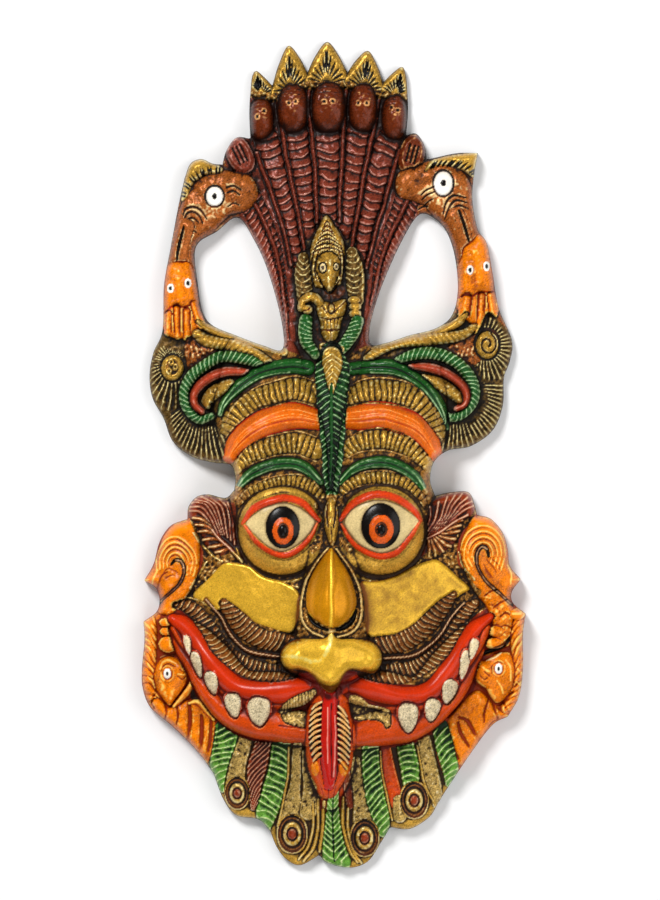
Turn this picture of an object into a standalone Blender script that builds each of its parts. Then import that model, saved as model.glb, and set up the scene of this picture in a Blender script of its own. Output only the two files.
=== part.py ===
"""Kirtimukha mask: one hollow brass casting in high relief, lying on its back rim, crowns towards +Y.

The relief is drawn on a flat lattice, in millimetres of the drawing with its origin mid-way up the
mask, and the finished drawing is scaled to HEIGHT and DEPTH.
"""

import math

import bmesh
import bpy
import numpy as np

# Driving sizes, in metres
HEIGHT = 0.4135
DEPTH = 0.054
WALL = 0.0045
RIM = 0.006
EDGE = 0.004

# How finely the casting is worked, in millimetres of the drawing, and how many facets are kept
PITCH = 1.2
STEP = 1.6
MARGIN = 3.0
FACETS = 9900

# A length longer than any on the drawing, and one too short to matter
FAR = 1e4
TINY = 1e-9

# The shortest side that a facet at the edge keeps, in millimetres of the drawing
SHORTEST_SIDE = 0.02

# Heights in the drawing: its own tallest point, and how far the outer edge rounds over
TALLEST = 54.0
ROUND_OVER = 4.0

# Where the side walls behind start to lean inwards from the rim, and how steeply, rise over run
LEAN_BEHIND = 1.8

# How far the relief is smoothed out of the back, in millimetres of the drawing, and the share of
# that reach over which the lowest height counts first
SMOOTHED_BEHIND = 3.2
LOWEST_FIRST = 0.7

# Rim points this close to the floor, in metres, are set down on it
SEAT = 0.0004

BRASS = (0.62, 0.42, 0.13, 1.0)


def curve(rows, closed=False):
    """Rows every STEP or so along a smooth curve through rows of x, y and whatever else they hold."""
    rows = np.array(rows, float)
    if closed:
        rows = np.vstack([rows[-1:], rows, rows[:2]])
    else:
        rows = np.vstack([2 * rows[0] - rows[1], rows, 2 * rows[-1] - rows[-2]])
    found = []
    for a, b, c, d in zip(rows, rows[1:], rows[2:], rows[3:]):
        count = max(1, round(math.hypot(*(c - b)[:2]) / STEP))
        u = np.arange(count)[:, None] / count
        bend = (2 * a - 5 * b + 4 * c - d) * u**2 + (3 * b - a - 3 * c + d) * u**3
        found.append(0.5 * (2 * b + (c - a) * u + bend))
    if not closed:
        found.append(rows[-2:-1])
    return np.vstack(found)


def leaf(left, tip, right):
    """A pointed leaf's side, tip and side, each side swelling out a little."""
    left, tip, right = (np.array(p, float) for p in (left, tip, right))
    width = right - left
    return [left, left + 0.55 * (tip - left) - 0.07 * width, tip,
            right + 0.55 * (tip - right) + 0.07 * width, right]


class Relief:
    """The front's height over a lattice on the drawing."""

    def __init__(self, low, high):
        self.x = np.arange(low[0] - MARGIN, high[0] + MARGIN + PITCH, PITCH)
        self.y = np.arange(low[1] - MARGIN, high[1] + MARGIN + PITCH, PITCH)
        self.ground = np.zeros((len(self.y), len(self.x)))
        self.z = self.ground.copy()

    def window(self, points, reach):
        """The part of the lattice that lies within reach of some points, and its x and y."""
        low, high = points[:, :2].min(0) - reach, points[:, :2].max(0) + reach
        left, right = np.searchsorted(self.x, (low[0], high[0]))
        foot, head = np.searchsorted(self.y, (low[1], high[1]))
        return np.s_[foot:head, left:right], *np.meshgrid(self.x[left:right], self.y[foot:head])

    def along(self, rows):
        """The window of a curve of x, y, width and maybe height: along it, across it and its height."""
        line = curve(rows)
        reach = line[:, 2].max() / 2 + 1
        part, x, y = self.window(line, reach)
        nearest = np.full(x.shape, FAR)
        place = np.zeros(x.shape)
        for k, (a, b) in enumerate(zip(line[:-1, :2], line[1:, :2])):
            low, high = np.minimum(a, b) - reach, np.maximum(a, b) + reach
            near = (x > low[0]) & (x < high[0]) & (y > low[1]) & (y < high[1])
            run = b - a
            px, py = x[near] - a[0], y[near] - a[1]
            share = np.clip((px * run[0] + py * run[1]) / (run @ run + TINY), 0, 1)
            away = np.hypot(px - share * run[0], py - share * run[1])
            away *= np.where(run[0] * py < run[1] * px, 1, -1)
            closer = np.abs(away) < np.abs(nearest[near])
            nearest[near] = np.where(closer, away, nearest[near])
            place[near] = np.where(closer, k + share, place[near])
        count = np.arange(len(line))
        lengths = np.r_[0, np.cumsum(np.hypot(*np.diff(line[:, :2], axis=0).T))]
        width = np.interp(place, count, line[:, 2])
        height = np.interp(place, count, line[:, -1])
        return part, np.interp(place, count, lengths), 2 * nearest / np.maximum(width, 0.1), height

    def depth_in(self, points):
        """The window of a closed run of points, and each place's depth inside it, negative outside."""
        loop = np.vstack([points, points[:1]])[:, :2]
        part, x, y = self.window(loop, 1)
        inside = np.zeros(x.shape, bool)
        nearest = np.full(x.shape, FAR)
        for a, b in zip(loop[:-1], loop[1:]):
            run = b - a
            if run[1]:
                level = (y[:, 0] >= min(a[1], b[1])) & (y[:, 0] < max(a[1], b[1]))
                cross = a[0] + (y[level, 0] - a[1]) * run[0] / run[1]
                inside[level] ^= x[level] > cross[:, None]
            share = np.clip(((x - a[0]) * run[0] + (y - a[1]) * run[1]) / (run @ run + TINY), 0, 1)
            away = np.hypot(x - a[0] - share * run[0], y - a[1] - share * run[1])
            nearest = np.minimum(nearest, away)
        return part, np.where(inside, nearest, -nearest)

    def swell(self, rows, fullness=0.5):
        """Raises the ground along a curve of x, y, width and height, half round across."""
        part, _, across, height = self.along(rows)
        round_off = np.clip(1 - across**2, 0, 1) ** fullness
        ground = self.ground[part]
        self.ground[part] = np.maximum(ground, ground + (height - ground) * round_off)

    def bulge(self, centre, radii, height, fullness=0.5):
        """Raises the ground in an oval, up to a height at its centre."""
        part, x, y = self.window(np.array([centre]), max(radii) + 1)
        away = ((x - centre[0]) / radii[0]) ** 2 + ((y - centre[1]) / radii[1]) ** 2
        round_off = np.clip(1 - away, 0, 1) ** fullness
        ground = self.ground[part]
        self.ground[part] = np.maximum(ground, ground + (height - ground) * round_off)

    def band(self, rows, rise, sink=0.5, rib=0.0, pitch=2.5, bow=0.0, slant=0.0, fullness=0.5):
        """Lays a rounded band over the ground; rib is the depth of the cuts across it."""
        part, s, across, _ = self.along(rows)
        on = np.abs(across) < 1
        top = rise * np.clip(1 - across**2, 0, 1) ** fullness - sink
        phase = (s + bow * (across**2 - 1) + slant * across) / pitch
        top = top - rib * (1 - np.abs(np.sin(np.pi * phase)))
        self.z[part] = np.where(on, self.ground[part] + top, self.z[part])

    def oval(self, centre, radii, rise, turn=0.0, lift=0.0, fullness=0.5):
        """Lays an oval dome over the ground."""
        part, x, y = self.window(np.array([centre]), max(radii) + 1)
        c, s = math.cos(math.radians(turn)), math.sin(math.radians(turn))
        u, v = x - centre[0], y - centre[1]
        away = ((c * u + s * v) / radii[0]) ** 2 + ((c * v - s * u) / radii[1]) ** 2
        top = lift + rise * np.clip(1 - away, 0, 1) ** fullness
        self.z[part] = np.where(away < 1, self.ground[part] + top, self.z[part])

    def patch(self, rows, rise, edge=2.5, sink=0.4):
        """Lays a smooth raised area inside a closed curve, rounded over at its edge."""
        part, depth = self.depth_in(curve(rows, closed=True))
        top = rise * np.sqrt(1 - (1 - np.clip(depth / edge, 0, 1)) ** 2) - sink
        self.z[part] = np.where(depth > 0, self.ground[part] + top, self.z[part])

    def cut(self, rows, depth):
        """Cuts a round-bottomed groove along a curve of x, y and width."""
        part, _, across, _ = self.along(rows)
        self.z[part] -= depth * np.clip(1 - across**2, 0, 1)


# The silhouette, clockwise from the first crown: stretches that meet at corners
CROWNS = [
    leaf((-41.4, 187.4), (-38.9, 192.4), (-30.9, 184.9)),
    leaf((-30.9, 184.9), (-22.9, 204.9), (-13.4, 191.4)),
    leaf((-13.4, 191.4), (-3.4, 206.9), (6.6, 191.4)),
    leaf((6.6, 191.4), (17.1, 202.4), (24.6, 186.4)),
    leaf((24.6, 186.4), (34.1, 194.4), (36.6, 184.9)),
]
RIGHT_SIDE = [
    [(36.6, 184.9), (37.1, 172.4), (36.1, 159.9)],
    [(36.1, 159.9), (41.1, 160.9), (45.1, 155.4), (46.6, 147.9)],
    [(46.6, 147.9), (53.1, 149.4), (62.1, 151.1), (72.1, 151.1)],
    [
        (72.1, 151.1), (70.1, 139.9), (69.4, 127.4), (72.1, 112.9), (76.6, 105.9), (79.6, 89.9),
        (82.6, 73.4), (89.1, 57.4), (88.1, 46.9), (85.1, 38.4), (84.6, 24.9), (79.6, 12.4),
        (68.6, 4.4), (57.1, 2.1), (50.1, -3.6), (48.1, -12.6), (50.6, -20.6),
    ],
    [(50.6, -20.6), (58.1, -18.9), (67.1, -18.6), (70.1, -24.1), (71.6, -30.1)],
    [(71.6, -30.1), (78.6, -32.1), (84.6, -39.1), (87.1, -47.6), (88.1, -55.6), (93.6, -62.4)],
    [(93.6, -62.4), (89.1, -68.6), (89.6, -74.1), (96.1, -79.6)],
    [(96.1, -79.6), (94.6, -90.1), (94.6, -107.6), (92.6, -121.1), (87.1, -131.1)],
    [(87.1, -131.1), (79.1, -135.6), (68.1, -150.1), (57.1, -166.6), (52.1, -174.6)],
    [(52.1, -174.6), (47.6, -181.6), (38.1, -187.4), (28.1, -186.6)],
    [
        (28.1, -186.6), (23.6, -194.1), (17.1, -203.6), (8.1, -206.9), (-2.9, -204.6),
        (-7.4, -200.6),
    ],
    [(-7.4, -200.6), (-16.9, -205.6), (-23.9, -202.6), (-28.9, -196.1), (-31.9, -188.6)],
    [(-31.9, -188.6), (-37.9, -182.6), (-48.9, -180.6), (-55.4, -172.6), (-60.4, -159.6)],
]
LEFT_SIDE = [
    [
        (-60.4, -159.6), (-67.9, -149.1), (-80.9, -136.1), (-91.9, -126.6), (-95.9, -116.6),
        (-96.1, -106.6), (-94.9, -92.6), (-95.4, -83.6),
    ],
    [(-95.4, -83.6), (-88.9, -78.6), (-87.4, -72.6), (-89.4, -66.6), (-95.1, -63.1)],
    [(-95.1, -63.1), (-90.4, -54.6), (-87.4, -43.6), (-81.9, -35.6), (-73.4, -32.1)],
    [
        (-73.4, -32.1), (-72.9, -26.1), (-68.9, -21.1), (-62.9, -19.9), (-54.4, -21.6),
        (-49.9, -17.6),
    ],
    [
        (-49.9, -17.6), (-49.4, -11.6), (-51.9, -5.1), (-60.9, -3.9), (-71.9, -0.6),
        (-80.9, 6.9), (-85.4, 18.4), (-90.9, 28.4), (-92.4, 39.9), (-90.4, 51.4), (-85.9, 62.4),
        (-85.1, 84.9), (-81.9, 103.4), (-77.9, 124.9), (-74.9, 138.4),
    ],
    [(-74.9, 138.4), (-71.9, 145.9), (-66.4, 148.1), (-60.9, 145.9), (-55.9, 145.4)],
    [(-55.9, 145.4), (-53.9, 152.4), (-48.9, 158.9), (-41.9, 158.4)],
    [(-41.9, 158.4), (-42.4, 172.4), (-41.4, 187.4)],
]
LEFT_GAP = [
    (-48.4, 118.9), (-58.9, 111.9), (-67.4, 106.9), (-69.9, 100.4), (-68.4, 86.4), (-65.9, 71.9),
    (-60.9, 64.9), (-49.4, 59.9), (-35.9, 54.9), (-25.9, 52.9), (-26.4, 67.4), (-32.9, 91.4),
    (-39.9, 107.4),
]
RIGHT_GAP = [
    (42.1, 119.9), (48.6, 119.6), (56.1, 112.4), (60.6, 99.4), (62.1, 82.4), (59.1, 69.9),
    (51.1, 63.4), (38.1, 59.9), (25.6, 55.9), (18.6, 55.4), (18.1, 64.9), (24.1, 84.9),
    (34.1, 107.4),
]

# How high the ground stands at places on the drawing: x, y and height, before anything is laid on it
LAND = [
    (-3.4, 197.4, 5), (-37.9, 182.4, 5), (33.1, 182.4, 5), (-31.9, 152.4, 8), (-2.9, 157.4, 9),
    (27.1, 152.4, 8), (-2.9, 127.4, 12), (-48.9, 142.4, 7), (42.1, 143.4, 7), (-20.9, 99.9, 13),
    (14.1, 99.9, 13), (-1.9, 62.4, 18), (-64.4, 132.4, 9), (-80.9, 87.4, 9), (60.6, 134.9, 9),
    (73.1, 92.4, 9), (-82.9, 42.4, 8), (78.1, 42.4, 8), (-59.4, 52.4, 13), (55.6, 52.4, 13),
    (-71.9, 7.4, 8), (65.6, 7.4, 8), (-41.9, 37.4, 19), (40.6, 37.4, 19), (-1.9, 27.4, 21),
    (-1.9, 7.4, 24), (-1.9, -7.6, 27), (-48.9, -12.6, 22), (47.1, -12.6, 22), (-46.9, 12.4, 20),
    (48.1, 12.4, 20), (-25.9, -37.6, 31), (23.1, -37.6, 31), (-1.4, -52.6, 36),
    (-46.9, -45.1, 22), (47.1, -45.1, 22), (-60.9, -32.6, 13), (59.1, -32.6, 13),
    (-66.9, -67.6, 16), (67.1, -67.6, 16), (-46.9, -65.1, 25), (45.6, -65.1, 25),
    (-1.4, -82.6, 38), (-26.9, -77.6, 33), (25.6, -77.6, 33), (-84.4, -57.6, 8),
    (83.1, -57.6, 8), (-86.9, -112.6, 9), (87.1, -112.6, 9), (-1.4, -117.6, 36),
    (-35.9, -117.6, 30), (34.1, -117.6, 30), (-61.9, -105.1, 22), (59.1, -105.1, 22),
    (-72.9, -85.1, 15), (72.1, -85.1, 15), (-1.4, -145.1, 28), (-41.9, -145.1, 20),
    (39.1, -145.1, 20), (-69.4, -132.6, 10), (67.1, -132.6, 10), (-1.4, -172.6, 17),
    (-35.9, -167.6, 12), (33.1, -167.6, 12), (-1.4, -203.6, 7), (-54.4, -170.1, 7),
    (51.1, -170.1, 7), (-21.4, -197.6, 6), (15.6, -197.6, 6),
]
LAND_BLEND = 12.0


def silhouette():
    """The outer edge as one closed run of points, and the two gaps under the birds' necks."""
    outer = []
    for stretch in CROWNS + RIGHT_SIDE + LEFT_SIDE:
        outer.append(curve(stretch)[:-1])
    return np.vstack(outer), curve(LEFT_GAP, closed=True), curve(RIGHT_GAP, closed=True)


def lay_ground(relief):
    """The land between the chosen heights, then the big rounded forms that stand on it."""
    x, y = np.meshgrid(relief.x, relief.y)
    total = np.zeros(x.shape)
    weight = np.full(x.shape, TINY)
    for at_x, at_y, height in LAND:
        near = np.exp(-((x - at_x) ** 2 + (y - at_y) ** 2) / (2 * LAND_BLEND**2))
        total += near * height
        weight += near
    relief.ground = total / weight
    # Brow: two half-round columns that lean back towards the crest
    relief.swell([
        (-35.9, 43.4, 40, 24), (-34.9, 27.4, 50, 31), (-30.9, 7.4, 53, 36),
        (-26.4, -22.6, 50, 39),
    ], 0.65)
    relief.swell([
        (33.1, 42.4, 40, 24), (32.1, 27.4, 49, 31), (28.6, 7.4, 52, 36), (23.6, -22.6, 49, 39),
    ], 0.65)
    # Eyeballs, bridge of the nose and its bulb
    relief.bulge((-25.9, -37.6), (22, 22), 43)
    relief.bulge((23.1, -37.6), (22, 22), 43)
    relief.swell([
        (-1.4, -25.1, 15, 38), (-1.4, -47.6, 22, 42), (-0.9, -72.6, 33, 48),
        (-0.9, -97.6, 36, 50),
    ], 0.7)
    relief.swell([(-23.9, -100.6, 17, 45), (-1.4, -101.6, 26, 51), (22.1, -100.6, 17, 45)])
    # Lips and tongue
    for lip in (
        [
            (-79.4, -81.6, 10, 17), (-63.9, -97.6, 18, 29), (-46.9, -115.1, 19, 35),
            (-26.9, -117.1, 19, 39), (-6.9, -117.1, 10, 40),
        ],
        [
            (77.6, -80.1, 10, 17), (60.6, -100.1, 18, 29), (43.1, -119.1, 19, 35),
            (20.6, -116.6, 19, 39), (3.1, -117.1, 10, 40),
        ],
        [
            (-80.4, -89.6, 8, 14), (-71.4, -104.6, 13, 20), (-59.9, -121.6, 17, 26),
            (-46.9, -130.6, 21, 30), (-29.4, -133.6, 23, 34), (-14.4, -136.6, 21, 36),
        ],
        [
            (76.1, -86.6, 8, 14), (66.1, -110.6, 13, 20), (54.1, -125.6, 17, 26),
            (40.6, -133.6, 21, 30), (25.6, -135.6, 23, 34), (10.6, -138.6, 21, 36),
        ],
        [
            (-2.4, -117.6, 19, 42), (-1.9, -137.6, 25, 41), (-1.9, -157.6, 22, 33),
            (-1.9, -172.6, 9, 23),
        ],
    ):
        relief.swell(lip)
    relief.z = relief.ground.copy()


def serpent(relief, body, head, crown, tooth):
    """One serpent of the hood: ribbed belly, domed head and the crown leaf it wears."""
    relief.band(body, 3.6, rib=0.9, pitch=5.5, bow=2.6, fullness=0.7)
    relief.patch(crown, 2.6, edge=2.0, sink=0)
    # Three cuts a leaf, spread a little from its foot towards its tip
    foot = 0.5 * (crown[0] + crown[-1])
    for share in (0.18, 0.5, 0.82):
        side = crown[0] + share * (crown[-1] - crown[0])
        low = 0.75 * foot + 0.25 * side
        high = 0.72 * crown[2] + 0.28 * side
        relief.cut([(*low, tooth), (*high, tooth)], 1.3)
    relief.oval(head, (5.6, 10.5), 8.5, lift=1.0)
    for side in (-1, 1):
        eye = (head[0] + side * 2.4, head[1] + 3.2)
        relief.oval(eye, (1.5, 1.5), 1.5, lift=7.5)
    relief.band([(head[0] - 3, head[1] - 4.5, 1.6), (head[0] + 3, head[1] - 4.5, 1.6)], 1, sink=-5.6)


def hood(relief):
    """Five serpents side by side, the lobed strips that edge them, and the cords between."""
    relief.band([
        (-46.4, 155.9, 8), (-46.9, 144.9, 9), (-40.9, 129.9, 11.5), (-33.9, 113.4, 10),
        (-27.9, 94.9, 7), (-23.9, 67.4, 4),
    ], 3.2, rib=0.9, pitch=5.5, bow=2)
    relief.band([
        (39.6, 155.9, 8), (40.1, 144.9, 8.5), (37.1, 129.9, 10), (30.6, 112.4, 7),
        (24.6, 96.4, 6), (20.1, 74.9, 3.5),
    ], 3.2, rib=0.9, pitch=5.5, bow=2)
    relief.band([
        (-42.9, 124.4, 8), (-35.9, 107.4, 7.5), (-30.9, 91.4, 6.5), (-26.9, 73.4, 5.5),
        (-24.9, 57.4, 4),
    ], 2.2, rib=1.0, pitch=5, slant=3)
    relief.band([
        (38.6, 124.4, 6.5), (32.1, 108.4, 5.5), (26.6, 93.4, 5), (22.1, 77.4, 4),
        (19.1, 58.4, 3),
    ], 2.2, rib=1.0, pitch=5, slant=-3)
    bodies = (
        [
            (-36.4, 167.4, 12), (-33.9, 157.4, 13), (-30.9, 148.4, 13.5), (-25.9, 132.4, 11),
            (-21.9, 114.9, 8.5), (-17.9, 93.4, 6.5),
        ],
        [
            (-20.9, 171.4, 12), (-19.4, 159.9, 13.5), (-16.9, 144.9, 13), (-14.4, 129.9, 11),
            (-12.9, 114.9, 9),
        ],
        [
            (-2.9, 174.4, 14), (-3.4, 159.9, 17), (-2.9, 144.9, 15.5), (-2.9, 129.9, 13),
            (-2.4, 114.9, 11),
        ],
        [
            (14.6, 173.4, 12), (12.6, 159.9, 14), (10.6, 144.9, 12), (8.1, 129.9, 10),
            (7.1, 113.4, 9),
        ],
        [
            (31.1, 168.4, 12), (28.6, 158.4, 14), (24.6, 147.4, 15), (20.1, 131.4, 13),
            (16.1, 114.9, 10), (12.1, 96.4, 8.5),
        ],
    )
    heads = ((-36.9, 168.4), (-20.9, 171.4), (-2.9, 174.4), (14.6, 173.4), (31.1, 168.4))
    for body, head, crown in zip(bodies, heads, CROWNS):
        crown = [crown[0] - (0, 4), crown[0], crown[2], crown[-1], crown[-1] - (0, 4)]
        serpent(relief, body, head, [np.array(p) for p in crown], 1.6)
    cords = (
        [(-12.4, 163.4, 2.5), (-9.9, 144.9, 2.5), (-8.4, 116.4, 2.5)],
        [(-26.4, 164.4, 2.5), (-21.9, 141.4, 2.5), (-17.9, 119.9, 2.5), (-14.9, 102.4, 2.5)],
        [(-38.4, 152.4, 2.5), (-32.9, 136.4, 2.5), (-25.9, 116.4, 2.5), (-21.4, 93.4, 2.5)],
        [(5.6, 163.4, 2.5), (4.6, 144.9, 2.5), (3.1, 116.4, 2.5)],
        [(20.1, 163.4, 2.5), (16.6, 144.9, 2.5), (12.1, 119.9, 2.5), (8.1, 102.4, 2.5)],
        [(32.6, 149.9, 2.5), (27.1, 132.4, 2.5), (21.1, 112.4, 2.5), (16.6, 94.4, 2.5)],
    )
    for cord in cords:
        relief.band(cord, 2.4, sink=-1.2)
    for lobe in ([
        (-43.9, 136.4, 4), (-49.9, 144.4, 4), (-50.4, 153.4, 4), (-45.4, 157.9, 4),
        (-41.9, 152.4, 3.5),
    ], [
        (36.6, 136.4, 4), (42.1, 143.4, 4), (43.6, 152.4, 4), (39.1, 158.9, 4),
        (35.6, 153.9, 3.5),
    ]):
        relief.band(lobe, 2.6, sink=-1.4)


def little_figure(relief):
    """The winged figure with a beak and joined hands that sits at the foot of the hood."""
    relief.patch([
        (-3.4, 120.4), (6.1, 104.9), (14.1, 96.4), (13.1, 77.4), (9.1, 54.9), (-0.4, 46.4),
        (-11.9, 54.9), (-17.9, 77.4), (-18.4, 96.4), (-11.4, 104.9),
    ], 5, edge=5)
    cap = [(-2.9, 118.4, 3.5), (-3.4, 111.4, 12), (-2.9, 103.4, 17)]
    relief.band(cap, 7, sink=-3, rib=0.8, pitch=2.6)
    for wing in ([(-12.9, 98.4, 5.5), (-16.4, 89.9, 6.5), (-13.9, 78.4, 4.5)], [
        (7.1, 99.4, 5.5), (10.6, 89.9, 6.5), (8.1, 78.4, 4.5),
    ]):
        relief.band(wing, 4, sink=-3, rib=0.7, pitch=2.2)
    relief.oval((-2.9, 92.9), (7.2, 9.6), 9, lift=4)
    relief.oval((-6.1, 93.9), (1.9, 1.9), 1.4, lift=11)
    relief.oval((0.9, 93.9), (1.9, 1.9), 1.4, lift=11)
    relief.band([(-2.4, 93.4, 2.5), (-2.4, 86.9, 4), (-1.9, 81.9, 1.5)], 4, sink=-11)
    relief.oval((-1.9, 66.4), (6.8, 11.5), 8, lift=3)
    relief.band([(-7.9, 77.4, 4), (-14.9, 77.9, 4), (-15.4, 70.9, 4), (-8.4, 68.9, 3.5)], 4, sink=-5)
    relief.band([(4.1, 77.4, 4), (11.6, 77.9, 4), (11.6, 69.9, 4), (4.6, 68.4, 3.5)], 4, sink=-5)
    relief.band([(-13.9, 69.4, 7), (-12.9, 57.4, 6.5), (-6.9, 48.9, 5)], 4, sink=-4, rib=0.9, pitch=2.2)
    relief.band([(10.6, 68.4, 7), (8.1, 56.4, 6.5), (2.1, 49.4, 5)], 4, sink=-4, rib=0.9, pitch=2.2)
    plait = [(-1.4, 49.9, 13), (-1.4, 27.4, 11), (-0.9, 2.4, 9), (-1.4, -22.6, 7)]
    relief.band(plait, 3.5, rib=1.3, pitch=4.4, bow=-4)


def bird(relief, neck, crest, eye, beak, folds):
    """A bird whose neck makes the handle beside the hood, and whose beak points down it."""
    relief.band(neck, 5.5, sink=0)
    relief.patch(crest, 2.5, edge=2, sink=-1.5)
    relief.oval(eye, (10, 11), 4.2, lift=4)
    relief.oval(eye, (3.6, 4.8), 2.4, lift=8)
    relief.band(beak, 3.5, sink=-3)
    for fold in folds:
        relief.cut(fold, 1.6)


def beast_head(relief, form, eyes, tusks):
    """The small beast's head that swallows the bird's neck, with its two tusks."""
    relief.band(form, 5.5, sink=-0.5)
    for eye in eyes:
        relief.oval(eye, (2.2, 2.7), 1.8, lift=6.5)
    for tusk in tusks:
        relief.band(tusk, 2.6, sink=-2.5)


def handles(relief):
    """Both birds and the beasts' heads under them."""
    bird(
        relief,
        [
            (-50.9, 136.4, 13), (-60.9, 128.9, 22), (-69.4, 113.4, 18), (-74.9, 96.4, 14),
            (-76.9, 62.4, 17),
        ],
        [(-74.9, 131.4), (-71.9, 144.4), (-66.4, 147.4), (-57.4, 143.4), (-66.9, 136.4)],
        (-59.6, 128.9),
        [(-73.4, 121.4, 7), (-75.4, 109.9, 6.5), (-76.9, 96.4, 6)],
        ([(-64.4, 123.9, 1.5), (-55.9, 125.4, 1.5), (-46.9, 124.9, 1.5)], [
            (-75.4, 123.4, 1.5), (-67.9, 124.4, 1.5), (-62.9, 116.4, 1.5),
        ], [(-76.4, 117.9, 1.5), (-70.9, 117.9, 1.5), (-66.9, 110.9, 1.5)]),
    )
    bird(
        relief,
        [
            (43.1, 138.4, 13), (54.6, 133.4, 22), (63.1, 118.4, 17), (67.1, 107.4, 14),
            (72.1, 77.4, 17),
        ],
        [(49.1, 144.4), (53.1, 148.9), (71.1, 150.4), (69.6, 141.4), (58.1, 144.4)],
        (55.1, 135.9),
        [(60.6, 124.9, 7), (64.1, 114.9, 6.5), (66.1, 104.4, 6)],
        ([(40.6, 131.4, 1.5), (48.1, 132.4, 1.5), (55.1, 127.4, 1.5)], [
            (54.6, 120.9, 1.5), (59.1, 128.4, 1.5), (65.6, 128.4, 1.5),
        ], [(58.6, 119.4, 1.5), (63.1, 125.4, 1.5), (68.1, 123.4, 1.5)]),
    )
    beast_head(
        relief,
        [(-75.9, 96.4, 15), (-76.9, 82.4, 18), (-74.9, 64.9, 15)],
        ((-81.6, 83.4), (-72.9, 85.6)),
        ([(-78.9, 73.4, 4), (-78.9, 60.9, 2.5)], [(-72.9, 74.4, 3.5), (-71.9, 63.4, 2.5)]),
    )
    beast_head(
        relief,
        [(69.1, 106.4, 16), (70.1, 92.4, 19), (70.1, 74.4, 15)],
        ((67.9, 92.4), (76.4, 94.4)),
        ([(66.1, 79.4, 3.5), (66.1, 69.4, 2.5)], [(72.6, 80.4, 3.5), (73.1, 62.4, 2.5)]),
    )


def fan(relief, hub, tips, rise, width):
    """Feathers that spread from near a hub to the points of an open curve."""
    hub = np.array(hub)
    off_hub = 0.35
    for tip in curve(tips)[::2]:
        start = hub + off_hub * (tip - hub)
        half_way = 0.5 * (start + tip)
        feather = [(*start, 0.5 * width), (*half_way, width), (*tip, width)]
        relief.band(feather, rise, sink=0.8)


def wings(relief):
    """The scrolled wings between the handles and the brow."""
    fan(relief, (-64.4, 31.4), [
        (-86.9, 53.4), (-89.9, 41.4), (-88.9, 29.4), (-83.9, 17.4), (-77.9, 7.4), (-66.9, 1.4),
        (-53.9, -0.1),
    ], 3.2, 4.2)
    fan(relief, (59.1, 34.9), [
        (83.1, 62.4), (87.1, 52.4), (84.1, 41.4), (83.1, 29.4), (82.1, 20.4), (76.1, 12.4),
        (66.1, 6.9), (53.1, 4.4),
    ], 3.2, 4.2)
    for coil in ([
        (-73.9, 41.4, 3), (-77.9, 38.4, 3.5), (-83.9, 40.4, 3.5), (-85.9, 46.4, 3.5),
        (-80.9, 50.4, 3), (-76.9, 46.4, 2.5),
    ], [
        (70.1, 51.4, 3), (71.1, 43.4, 3.5), (77.1, 41.4, 3.5), (82.1, 47.4, 4), (83.1, 57.4, 4),
        (78.1, 64.4, 3.5), (73.1, 60.4, 2.5),
    ]):
        relief.band(coil, 4, sink=-1)
    # Edge of the gap, beaded band, green scroll, red scroll inside it, and the tongue between
    left = (
        ([(-68.4, 68.4, 5), (-59.9, 61.9, 5.5), (-46.9, 56.9, 5.5), (-25.9, 50.9, 5)], 3, 0, -1),
        ([(-68.4, 60.4, 6), (-57.9, 54.9, 6), (-44.4, 50.9, 6), (-30.9, 44.4, 5.5)], 4, 0.8, -2),
        ([
            (-32.9, 44.4, 6), (-46.9, 48.4, 9), (-62.9, 45.4, 9), (-72.9, 34.4, 9),
            (-71.9, 23.4, 8), (-64.9, 16.9, 6),
        ], 7, 0.9, -1),
        ([
            (-41.9, 41.4, 4.5), (-54.4, 40.9, 6), (-65.4, 35.9, 6), (-70.4, 28.4, 6),
            (-65.4, 19.4, 4.5),
        ], 6, 0, -2),
        ([(-51.9, 35.4, 6), (-62.9, 30.4, 6.5), (-64.9, 24.4, 5)], 5, 0, -1),
    )
    right = (
        ([(21.1, 53.9, 5), (34.1, 58.4, 5.5), (50.1, 61.9, 5.5), (63.1, 66.4, 5)], 3, 0, -1),
        ([(20.1, 46.4, 5.5), (32.1, 54.9, 6), (50.1, 57.9, 6), (68.1, 63.4, 6)], 4, 0.8, -2),
        ([
            (32.1, 45.4, 6), (45.1, 50.4, 9), (61.1, 46.4, 9), (71.1, 33.4, 9), (68.1, 21.4, 8),
            (56.1, 18.4, 6),
        ], 7, 0.9, -1),
        ([
            (37.1, 42.9, 4.5), (49.6, 43.4, 6), (61.1, 37.9, 6), (66.6, 29.4, 6),
            (59.1, 21.9, 4.5),
        ], 6, 0, -2),
        ([(47.1, 37.4, 6), (58.1, 32.4, 6.5), (63.1, 27.4, 5)], 5, 0, -1),
    )
    for rows, rise, rib, sink in left + right:
        relief.band(rows, rise, sink=sink, rib=rib, pitch=2.4, slant=1.5)


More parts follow.
